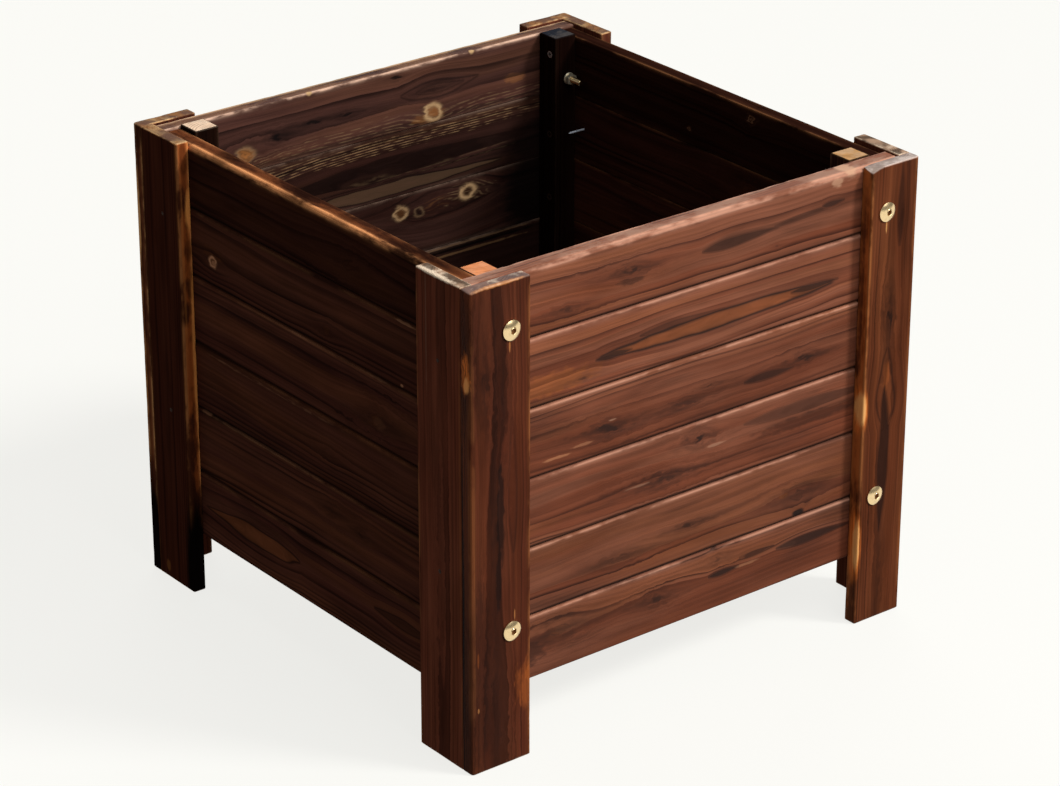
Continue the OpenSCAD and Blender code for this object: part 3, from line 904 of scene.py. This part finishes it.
# The top two right boards have low tones, darkest at the rim: painted shade on the wall's unlit inner face
RIGHT_BOARDS = [
    dict(tone=0.27, pith=(-12, -30), features=[
        knot(-61, 436, 8, 6, core=0.0, halo=0.3, pale=0.25), knot(24, 402, 4, 3, pale=0.25, halo=0.3)]),
    dict(tone=0.5, pith=(8, -26), features=[knot(-60, 366, 18, 9, warm=0.5, halo=0.3)]),
    dict(tone=0.7, pith=(-6, -34), features=[]),
    dict(tone=0.7, pith=(12, -30), features=[knot(40, 220, 8, 6)]),
    dict(tone=0.9, pith=(-8, -36), features=[knot(-90, 160, 8, 6)]),
    dict(tone=0.9, pith=(2, -30), features=[knot(110, 100, 8, 6)]),
]
# rim: wear with painted highlight at the top board's inner, outer and bevel corners, then over its top and
# slope; crest: wear with painted highlight, and painted joint shade, at each lower board's bevel
WALLS = {
    "front": dict(
        long="x", outer="-y", slot="wood_front", rim=(1.0, 0.9, 0.7, 0.85, 0.8), crest=(0.6, 0.0),
        tones=FRONT, boards=FRONT_BOARDS, finish=dict(shine=0.05, ember=0.3, wear_and_highlight=0.95)),
    "back": dict(
        long="x", outer="+y", slot="wood_back", rim=(0.95, 1.0, 0.7, 0.3, 0.4), crest=(0.5, 0.0),
        tones=BACK, boards=BACK_BOARDS, finish=dict(shine=0.02, ember=0.08, wear_and_highlight=0.9)),
    "left": dict(
        long="y", outer="-x", slot="wood_side", rim=(0.4, 1.35, 0.7, 0.30, 0.2), crest=(0.12, 0.3),
        tones=SIDE, boards=LEFT_BOARDS, finish=dict(shine=0.0, ember=0.25, wear_and_highlight=0.9)),
    "right": dict(
        long="y", outer="+x", slot="wood_side", rim=(0.25, 0.2, 0.1, 0.0, 0.0), crest=(0.0, 0.8),
        tones=SIDE, boards=RIGHT_BOARDS, finish=dict(shine=0.0, ember=0.15, wear_and_highlight=0.6)),
}


def make_walls():
    seed = 1.0
    for name, wall in WALLS.items():
        for k, look in enumerate(wall["boards"]):
            seed += 1.37
            bar = Bar(f"{name}_board_{k + 1}", wall["long"], "z", wall["outer"])
            up, depth = look["pith"]
            crest = bar.a1 / MM - CREST_BELOW if name == "front" else None
            finish = {**wall["finish"], **look, "pith": (bar.middle + up, depth)}
            material = wood(bar.node, wall["tones"], seed, ring=WALL_RING, crest=crest, **finish)
            is_bottom = k == len(wall["boards"]) - 1
            corners = board_corners(bar, k == 0, is_bottom, wall["rim"], wall["crest"])
            wooden(bar, corners, material, wall["slot"], seed)


# ---------------- legs and posts

CORNERS = {"front_left": (-1, -1), "front_right": (1, -1), "back_left": (-1, 1), "back_right": (1, 1)}
# Radii of a section's low and high outer edges, then of its inner high and low ones, in mm
LEG_FACE_RADII = (3.2, 1.6, 0.5, 0.8)
LEG_SIDE_RADII = (1.0, 1.6, 1.2, 0.5)
POST_RADIUS = 1.2
BEARER_RADIUS = 1.0
LEG_WOOD = dict(wear_and_highlight=0.9, wander=5.0, shine=0.0, crust=0.4, stain=0.7, ember=0.02, banding=0.12)
POST_WOOD = dict(ring=3.0, wear_and_highlight=0.8, wander=4.0, shine=0.0, stain=0.15)
POST_LOOK = {
    "front_left": dict(tone=1.0, edges=0.5, crust=0.1, end=(0.84, 0.31, 0.13)),
    "front_right": dict(tone=1.0, edges=0.5, crust=0.2, end=(0.60, 0.32, 0.13)),
    "back_left": dict(tone=0.25, edges=0.1, crust=0.6, end=(0.95, 0.68, 0.48)),
    # The far post's low tone and dark bluish end are painted shade
    "back_right": dict(tone=0.2, edges=0.02, crust=0.06, end=(0.022, 0.026, 0.036)),
}

# Looks of each leg's board on the bolted face, then of the one beside it. Features are at
# (height, across) in mm of the row's frame, d is their depth, and edges and runs are as below.
LEG_FACE_LOOK = {
    "front_left": dict(
        tone=1.0, edges=(0.45, 0.6, 0.2, 0.1), patchy=0.3, crust=0.9, shine=0.01,
        dents=[((-250, -250, 450), 15, (1.6, 1.6, -2.2))], features=[
        knot(368, -234, 22, 8, halo=0.8, core=0.7), knot(352, -216, 26, 4, halo=0.6),
        patch(376, -250, 22, 6, warm=1.0, d=7, half_d=6, calm=0.2),
        patch(365, -250, 9, 3, pale=1.0, d=5.5, half_d=4, calm=0.2),
        patch(150, -250, 230, 9, dark=1.0, d=13.5, half_d=4, calm=0.6),
        patch(330, -226, 150, 5, dark=0.35), patch(420, -236, 40, 10, dark=0.25),
        patch(90, -241, 120, 12, dark=0.4, calm=0.3), patch(380, -246, 80, 8, dark=0.3, calm=0.3),
        patch(240, -219, 60, 4.5, dark=0.8), patch(180, -221, 40, 3.5, dark=0.7),
        lens(200, 330, -206, 4, rim=0.3),
        knot(66, -224, 34, 7, halo=0.5, core=0.2), knot(36, -222, 20, 5, halo=0.5, core=0.3),
        patch(72, -190, 26, 13, warm=0.18), patch(80, -189, 10, 6, warm=0.3),
        patch(62, -243, 3, 1.2, pale=0.3, calm=0.5), patch(110, -243, 8, 1.4, warm=0.2),
        patch(392, -209, 6, 0.9, pale=0.35, calm=0.5), patch(142, -204, 6, 0.9, pale=0.3, calm=0.5),
        patch(450, -220, 2.4, 34, pale=0.4, d=0, half_d=4, calm=0.4)]),
    # Its inner edge faces away from the key: the run of bright rim colour and the warm, pale spots along it
    # (across 194) are a painted reflection
    "front_right": dict(
        tones=LEG_RIGHT, tone=0.95, edges=(0.9, 0.6, 0.2, 0.9), runs=(0, 0, 0, 0.7), shine=0.01,
        crust=0.6, dents=[((191, -250, 452), 16, (0.8, 1.2, -4.5))], features=[
        knot(304, 222, 13, 6, core=0.85, halo=0.9), knot(285, 220, 14, 3, core=0.3, halo=0.6),
        lens(84, 238, 221, 6.2, fill=0.78, rim=0.5, skew=-0.2),
        lens(190, 276, 221, 10, rim=0.6, rim_w=1.6, skew=0.5),
        patch(245, 221, 16, 5, warm=0.12),
        knot(60, 222, 26, 5, halo=0.5, core=0.3), lens(368, 452, 230, 3.5, fill=0.6, rim=0.4),
        patch(217, 194, 28, 8, warm=1.0, d=6, half_d=12, calm=0.8),
        patch(218, 194, 19, 5, pale=0.9, d=3, half_d=10, calm=0.6),
        patch(80, 194, 42, 6, warm=1.0, d=5, half_d=10, calm=0.8),
        patch(82, 194, 30, 3, pale=0.9, d=2, half_d=6, calm=0.6),
        patch(330, 194, 130, 3, warm=0.25, d=2, half_d=5, calm=0.7),
        patch(392, 213, 7, 1.0, pale=0.5, calm=0.5)]),
    # The warm, pale spots on its shaded outer edge, in LEG_FAR's bright colours, are painted light; it is
    # darker towards the bottom
    "back_left": dict(
        tones=LEG_FAR, tone=0.6, edges=(0.9, 0.6, 0.2, 0.6), runs=(0, 0, 0, 0.25), features=[
        knot(200, -222, 10, 7), patch(360, -250, 56, 9, warm=0.9, pale=0.75, d=1.5, half_d=5, calm=0.7),
        patch(220, -250, 110, 9, warm=0.3, d=1, half_d=5, calm=0.7),
        patch(20, -250, 90, 14, dark=1.0, d=6, half_d=20, calm=0.8),
        patch(440, -250, 16, 12, dark=0.6, d=8, half_d=7)]),
    "back_right": dict(tones=LEG_FAR, tone=0.8, edges=(0.6, 0.6, 0.2, 0.2), features=[
        knot(280, 222, 10, 7)]),
}
LEG_SIDE_LOOK = {
    "front_left": dict(tone=1.05, edges=(0.05, 0.3, 0.5, 0.1), crust=0.6, patchy=0.4, features=[
        knot(240, -206, 60, 4, halo=0.4), knot(110, -208, 50, 4, halo=0.4),
        patch(240, -235, 240, 1.6, warm=0.12), patch(400, -190, 60, 1.2, pale=0.04),
        patch(450, -200, 2.4, 34, pale=0.9, d=0, half_d=6, calm=0.4)]),
    "front_right": dict(tone=0.8, edges=(0.3, 0.5, 0.3, 0.2), features=[knot(210, -205, 10, 7)]),
    # Its shaded edge strip at across 179 takes LEG_LIT's bright colours and warm, pale spots: painted
    # light; it is darker towards the bottom
    "back_left": dict(
        tones=LEG_LIT, tone=0.38, edges=(0.35, 0.1, 0.1, 1.0), runs=(0, 0, 0, 0.55), features=[
        patch(12, 222, 7, 4, pale=0.10, calm=0.5),
        patch(10, 179, 110, 14, dark=1.0, d=6, half_d=20, calm=0.8),
        patch(384, 179, 24, 8, warm=1.0, pale=0.95, d=12, half_d=6, calm=0.7),
        patch(345, 179, 13, 8, dark=0.5, d=9, half_d=5, calm=0.5),
        patch(245, 179, 110, 8, warm=1.0, pale=0.75, d=13, half_d=4.5, calm=0.8),
        patch(300, 179, 170, 8, warm=0.3, d=11, half_d=6, calm=0.8),
        patch(137, 179, 12, 8, warm=0.9, d=12, half_d=4, calm=0.8),
        patch(330, 179, 110, 8, pale=0.14, d=3.5, half_d=1.4, calm=0.6),
        patch(434, 179, 18, 8, dark=0.5, d=7, half_d=6)]),
    "back_right": dict(tones=LEG_FAR, tone=0.8, edges=(0.6, 0.6, 0.2, 0.2), features=[
        knot(150, 210, 10, 7)]),
}


def plain_corners(bar, radii, edges, runs=(0, 0, 0, 0)):
    """Section of a plain board, as (a, d, radius, wear with painted highlight, painted joint shade, run)
    corners.

    radii and edges (their wear and painted highlight) are for its low and high outer edges, then the inner
    high and low ones. runs are the wear and painted highlight over its outer face, high edge, inner face
    and low edge."""
    low, high, thick = bar.a0, bar.a1, bar.thick
    places = [(low, 0), (high, 0), (high, thick), (low, thick)]
    return [(*place, r, wear_and_highlight, 0.0, run) for place, r, wear_and_highlight, run in zip(places, radii, edges, runs)]


def make_leg_board(bar, side, slot, seed, pith, radii, tones, edges, runs=(0, 0, 0, 0), dents=(),
                   **look):
    """One upright board of a leg. radii and pith are for a leg on the low side."""
    if side > 0:
        radii = [radii[k] for k in (1, 0, 3, 2)]
    up, depth = pith
    material = wood(bar.node, tones, seed, (bar.middle + up * side, depth), **{**LEG_WOOD, **look})
    corners = plain_corners(bar, radii, edges, runs)
    wooden(bar, corners, material, slot, seed, across=6.0, rounding=1.2, dents=dents)


def make_post(bar, seed, edges, **look):
    material = wood(bar.node, POST, seed, (bar.middle + 8, -12), **POST_WOOD, **look)
    corners = plain_corners(bar, [POST_RADIUS] * 4, [edges] * 4)
    wooden(bar, corners, material, "wood_post", seed, across=6.0, cap=SHADED_CAP)


def make_legs():
    seed = 40.0
    for corner, (sx, sy) in CORNERS.items():
        seed += 1.61
        face = Bar(f"{corner}_leg_face", "z", "x", "-y" if sy < 0 else "+y")
        make_leg_board(face, sx, "wood_leg_face", seed, (6, 34), LEG_FACE_RADII,
                       **{"tones": LEG, "ring": 2.4, **LEG_FACE_LOOK[corner]})
        side = Bar(f"{corner}_leg_side", "z", "y", "-x" if sx < 0 else "+x")
        make_leg_board(side, sy, "wood_leg_side", seed + 0.5, (5, 30), LEG_SIDE_RADII,
                       **{"tones": LEG_SIDE, "ring": 2.2, **LEG_SIDE_LOOK[corner]})
        post = Bar(f"{corner}_post", "z", "x", "+y" if sy < 0 else "-y")
        make_post(post, seed + 0.9, **POST_LOOK[corner])


# ---------------- floor

BEARERS = {"front_bearer": "-y", "back_bearer": "+y"}
SLATS = 7
NOTCH = 26 * MM
SLAT_ROUND = 1.0 * MM
SLAT_CORNER = 1.5 * MM
SLAT_WEAR = 0.6
SLAT_STEP = 14 * MM


def make_bearers():
    for k, (node, outer) in enumerate(BEARERS.items()):
        bar = Bar(node, "x", "z", outer)
        material = wood(node, FLOOR_WOOD, 70 + k, (bar.middle, -20), ring=3.2)
        corners = plain_corners(bar, [BEARER_RADIUS] * 4, [0.5] * 4)
        wooden(bar, corners, material, "wood_floor", 70 + k, step=12.0)


def slat_outline(x0, x1, y0, y1, notch_side):
    """Outline of a slat seen from above, with its notches round the posts."""
    if not notch_side:
        return [(x0, y0), (x1, y0), (x1, y1), (x0, y1)]
    near, far = (x1, x0) if notch_side < 0 else (x0, x1)
    step = far - notch_side * NOTCH
    return [(near, y0), (step, y0), (step, y0 + NOTCH), (far, y0 + NOTCH),
            (far, y1 - NOTCH), (step, y1 - NOTCH), (step, y1), (near, y1)]


def make_slats():
    for k in range(1, SLATS + 1):
        node = f"floor_slat_{k}"
        lo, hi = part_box(node)
        middle = (lo.x + hi.x) / 2 / MM
        side = -1 if k == 1 else 1 if k == SLATS else 0
        places = slat_outline(lo.x, hi.x, lo.y, hi.y, side)
        shape = outline([(x, y, SLAT_CORNER, 0, 0, 0) for x, y in places], SLAT_STEP)
        r = SLAT_ROUND
        levels = [(lo.z, 3 * r), (lo.z, r), (lo.z + 0.3 * r, 0.3 * r), (lo.z + r, 0.0),
                  (hi.z - r, 0.0), (hi.z - 0.3 * r, 0.3 * r), (hi.z, r), (hi.z, 3 * r)]
        points, values = [], []
        for z, inset in levels:
            points += [Vector((q.x, q.y, z)) for q in shrink(shape, inset)]
            values += [(SLAT_WEAR, 0.0, 0.0 if inset < 1.5 * r else inset, 0.0, 0.0)] * len(shape)
        mesh = new_mesh(node, points, tube_faces(len(levels), len(shape)), WOOD_CREASE)
        store(mesh, [(p.y, p.x, hi.z - p.z) for p in points], values)
        features = [knot(-150 + 47 * k, middle + 6, 9, 6, core=0.5)]
        material = wood(node, FLOOR_WOOD, 80 + 1.7 * k, (middle + 9, -25), ring=4.0, features=features)
        finish_piece(node, mesh, "wood_floor", material)


# ---------------- fasteners, all in mm

BOLT_X = {"front_left": 207.5, "front_right": 212.5, "back_left": 210.0, "back_right": 210.0}
BOLT_Z = (128, 406)
BOLT_LEN, BOLT_R = 75, 3
HEAD_R, HEAD_H, HEAD_RIM = 9.25, 4, 1.3
DOME_STEPS = 8
SOCKET_AF, SOCKET_DEEP, SOCKET_EDGE = 5, 3, 0.35
PITCH, THREAD_LEN, THREAD_DEEP, THREAD_END = 1.0, 30, 0.42, 0.9
THREAD_STEPS = 4
BORE_R = BOLT_R + 0.25
NUT_AF, NUT_H = 10, 5
WASHER_R, WASHER_T, WASHER_EDGE = 6, 1.6, 0.3
SCREW_SHANK, SCREW_HEAD, SCREW_HEAD_H = 1.75, 3.5, 2.4
SCREW_THREAD, SCREW_TIP, SCREW_STEPS = 0.25, 5, 14
RECESS_RADII = (0.35, 0.8, 1.2, 1.6, 1.95)
RECESS_OUT, RECESS_DEEP, RECESS_HALF = 2.2, 1.3, 0.42
NAIL_SHANK, NAIL_HEAD, NAIL_HEAD_H = 1.1, 2.3, 1.0
POST_SCREW_LEN, BEARER_SCREW_LEN = 35, 30
LEG_NAIL_LEN, SLAT_NAIL_LEN = 50, 30
POST_SCREW_X, POST_SCREW_Y = 194, 203
POST_SCREW_Z = (431, 349.25, 283.75, 218.25, 152.75, 86.5)
LEG_NAIL_X = 250
LEG_NAILS = ((206, 180), (206, 375))
STRAY_NAIL = (181, 355)
BEARER_SCREW_X = (-126, 0, 126)
BEARER_SCREW_Y, BEARER_SCREW_Z = 199, 79
SLAT_NAIL_Y = 209


def hexagon(across_flats):
    """Radius of a hexagon as a function of the angle."""
    def radius(angle):
        return across_flats / 2 / math.cos((angle + math.pi / 6) % (math.pi / 3) - math.pi / 6)
    return radius


class Turned:
    """Collects turned shapes, each made of rings round an axis, in one piece."""

    def __init__(self, node, slot, *materials):
        self.node, self.slot, self.materials = node, slot, materials
        self.points, self.faces, self.marks = [], [], []

    def add(self, rings, segments, origin, axis, closed=False, marked=0):
        """rings are (height, radius), each a number or a function of the angle.

        The first marked rows of faces, and the cap on them, take the second material."""
        turn = Vector(axis).to_track_quat("Z", "Y").to_matrix()
        first = len(self.points)
        for height, radius in rings:
            for s in range(segments):
                angle = 2 * math.pi * s / segments
                r = radius(angle) if callable(radius) else radius
                h = height(angle) if callable(height) else height
                local = Vector((r * math.cos(angle), r * math.sin(angle), h))
                self.points.append((Vector(origin) + turn @ local) * MM)
        sides = ring_faces(len(rings), segments, first, closed)
        self.faces += sides
        self.marks += [1 if k < marked * segments else 0 for k in range(len(sides))]
        if not closed:
            self.cap(first, segments, 1 if marked else 0)
            self.cap(first + (len(rings) - 1) * segments, segments, 0)

    def cap(self, first, segments, mark):
        middle = Vector((0, 0, 0))
        for point in self.points[first:first + segments]:
            middle += point / segments
        centre = len(self.points)
        self.points.append(middle)
        for s in range(segments):
            self.faces.append((centre, first + s, first + (s + 1) % segments))
            self.marks.append(mark)

    def finish(self):
        mesh = new_mesh(self.node, self.points, self.faces, METAL_CREASE, self.marks)
        finish_piece(self.node, mesh, self.slot, *self.materials)


def thread(depth):
    """Radius of the thread at that depth, as a function of the angle."""
    def radius(angle):
        phase = (depth / PITCH + angle / (2 * math.pi)) % 1.0
        return BOLT_R - THREAD_DEEP * (1 - abs(2 * phase - 1))
    return radius


def bolt_rings():
    """A domed furniture bolt: socket, dome, shank and thread. Height 0 is under the head."""
    hexed = hexagon(SOCKET_AF)
    floor = HEAD_H - SOCKET_DEEP
    rings = [(floor, 0.9), (floor, hexed), (HEAD_H - SOCKET_EDGE, hexed),
             (HEAD_H - 0.02, lambda angle: hexed(angle) + SOCKET_EDGE)]
    dome = HEAD_H - HEAD_RIM
    big = (HEAD_R * HEAD_R + dome * dome) / (2 * dome)
    start = math.asin((SOCKET_AF / 2 + 0.8) / big)
    end = math.asin(HEAD_R / big) * 0.985
    for k in range(DOME_STEPS + 1):
        t = start + (end - start) * k / DOME_STEPS
        rings.append((HEAD_H - big * (1 - math.cos(t)), big * math.sin(t)))
    plain = BOLT_LEN - THREAD_LEN
    rings += [(HEAD_RIM - 0.25, HEAD_R), (0.3, HEAD_R), (0.05, HEAD_R - 0.2), (0, HEAD_R - 0.6),
              (0, BOLT_R + 0.3), (-0.3, BOLT_R), (-plain, BOLT_R)]
    steps = round(THREAD_LEN / PITCH) * THREAD_STEPS
    depths = [plain + THREAD_LEN * k / steps for k in range(1, steps)]
    rings += [(-depth, thread(depth)) for depth in depths if depth <= BOLT_LEN - THREAD_END]
    return rings + [(-BOLT_LEN + 0.4, BOLT_R - 0.6), (-BOLT_LEN, BOLT_R - 1.0)]


def nut_rings():
    """A hexagon nut, its corners rounded off at both ends."""
    hexed = hexagon(NUT_AF)
    cone = NUT_AF / 2 + 0.35

    def tip(angle):
        return min(hexed(angle), cone - 0.1)

    def shoulder(angle):
        return min(hexed(angle), cone + 0.45)

    return [(0, BORE_R + 0.4), (0, tip), (0.5, shoulder), (0.9, hexed),
            (NUT_H - 0.9, hexed), (NUT_H - 0.5, shoulder), (NUT_H, tip), (NUT_H, BORE_R + 0.4),
            (NUT_H - 0.5, BORE_R - 0.2), (0.5, BORE_R - 0.2)]


def washer_rings():
    inner = WASHER_R - WASHER_EDGE
    return [(0, BORE_R), (0, inner), (WASHER_EDGE, WASHER_R), (WASHER_T - WASHER_EDGE, WASHER_R),
            (WASHER_T, inner), (WASHER_T, BORE_R)]


def make_bolts(brass, socket_grime_and_shade, zinc):
    bolts = Turned("bolts", "bolt_brass", brass, socket_grime_and_shade)
    washers = Turned("washers", "washer_zinc", zinc)
    nuts = Turned("nuts", "washer_zinc", zinc)
    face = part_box("bolts")[1].y / MM - HEAD_H
    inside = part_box("washers")[1].y / MM - WASHER_T
    bolt, washer, nut = bolt_rings(), washer_rings(), nut_rings()
    for corner, (sx, sy) in CORNERS.items():
        for z in BOLT_Z:
            x, axis = sx * BOLT_X[corner], (0, sy, 0)
            bolts.add(bolt, 24, (x, sy * face, z), axis, marked=2)
            washers.add(washer, 32, (x, sy * inside, z), axis, closed=True)
            nuts.add(nut, 36, (x, sy * (inside - NUT_H), z), axis, closed=True)
    for piece in (bolts, washers, nuts):
        piece.finish()


def recess(radius):
    """Height of a cross recess at that radius, as a function of the angle."""
    def height(angle):
        across = radius * min(abs(math.sin(angle)), abs(math.cos(angle)))
        inside = max(0.0, 1.0 - max(0.0, across - RECESS_HALF * 0.6) / (RECESS_HALF * 0.8))
        return -RECESS_DEEP * min(1.0, inside)
    return height


def screw_rings(length):
    """A countersunk cross-head screw, head up at height 0 and its point down."""
    rings = [(recess(r), r) for r in RECESS_RADII]
    rings += [(0, RECESS_OUT), (0, SCREW_HEAD - 0.35), (-0.05, SCREW_HEAD - 0.05), (-0.3, SCREW_HEAD),
              (-SCREW_HEAD_H, SCREW_SHANK)]
    turned = length - SCREW_HEAD_H - SCREW_TIP
    for k in range(1, SCREW_STEPS):
        cut = SCREW_THREAD if k % 2 else 0
        rings.append((-SCREW_HEAD_H - turned * k / SCREW_STEPS, SCREW_SHANK - cut))
    return rings + [(-length + 4, SCREW_SHANK - 0.3), (-length + 0.3, 0.15)]


def nail_rings(length):
    """A wire nail with a slightly domed head."""
    dome = [(0, 0.35), (-0.06, 0.75), (-0.2, 0.95), (-0.45, 1.0), (-NAIL_HEAD_H, 0.95)]
    rings = [(height, NAIL_HEAD * part) for height, part in dome]
    return rings + [(-NAIL_HEAD_H - 0.4, NAIL_SHANK), (-length + 3, NAIL_SHANK), (-length + 0.1, 0.1)]


def make_wall_fasteners(steel, iron, stained):
    """The screws through the posts, and the nails through the side leg boards."""
    screws = Turned("post_screws", "screw_steel", steel, stained)
    nails = Turned("leg_nails", "nail_steel", iron, stained)
    screw, nail = screw_rings(POST_SCREW_LEN), nail_rings(LEG_NAIL_LEN)
    for corner, (sx, sy) in CORNERS.items():
        for z in POST_SCREW_Z:
            # All post screws but the top one take the dark material: painted shade deeper in the box
            dull = 0 if z == POST_SCREW_Z[0] else len(screw)
            place = (sx * POST_SCREW_X, sy * POST_SCREW_Y, z)
            screws.add(screw, 24, place, (-sx, 0, 0), marked=dull)
        for y, z in LEG_NAILS:
            if corner == "back_right" and (y, z) == LEG_NAILS[1]:
                y, z = STRAY_NAIL
            nails.add(nail, 16, (sx * LEG_NAIL_X, sy * y, z), (sx, 0, 0), marked=4)
    screws.finish()
    nails.finish()


def make_floor_fasteners(steel, iron):
    """The screws through the bearers, and the nails through the slats."""
    screws = Turned("bearer_screws", "screw_steel", steel)
    nails = Turned("slat_nails", "nail_steel", iron)
    screw, nail = screw_rings(BEARER_SCREW_LEN), nail_rings(SLAT_NAIL_LEN)
    for x in BEARER_SCREW_X:
        for sy in (-1, 1):
            screws.add(screw, 32, (x, sy * BEARER_SCREW_Y, BEARER_SCREW_Z), (0, -sy, 0))
    for k in range(1, SLATS + 1):
        lo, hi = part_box(f"floor_slat_{k}")
        inward = 9 if k == 1 else -9 if k == SLATS else 0
        spread = 8 if inward else 16
        for s in (-1, 1):
            for sy in (-1, 1):
                x = (lo.x + hi.x) / 2 / MM + inward + s * spread
                nails.add(nail, 16, (x, sy * SLAT_NAIL_Y, hi.z / MM), (0, 0, 1))
    screws.finish()
    nails.finish()


def make_fasteners():
    brass = metal("bolt_brass", (0.88, 0.66, 0.36), 0.20, 3.0, spots=0.3)
    # The bolt socket is a darker, duller brass: grime, with painted shade in the recess
    socket_grime_and_shade = metal("bolt_socket", (0.42, 0.23, 0.09), 0.45, 4.0, metallic=0.5)
    zinc = metal("washer_zinc", (0.86, 0.78, 0.60), 0.36, 5.0, metallic=0.8)
    steel = metal("screw_steel", (0.72, 0.71, 0.69), 0.36, 7.0, metallic=0.8)
    iron = metal("nail_steel", (0.70, 0.76, 0.86), 0.40, 9.0, metallic=0.6)
    stained = metal("nail_stained", (0.040, 0.020, 0.013), 0.7, 11.0, metallic=0.0, gloss=0.05)
    make_bolts(brass, socket_grime_and_shade, zinc)
    make_wall_fasteners(steel, iron, stained)
    make_floor_fasteners(steel, iron)
    # The wall nails are fully inside the wood, so they keep their CAD shape
    hidden = bpy.data.objects["wall_nails"].data.materials
    hidden.clear()
    hidden.append(iron)


# ---------------- all together

make_camera()
make_world()
make_floor()
make_sun("key")
make_soft_box()
make_sun("fill")
bpy.context.scene.view_settings.view_transform = "Standard"

make_walls()
make_legs()
make_bearers()
make_slats()
make_fasteners()
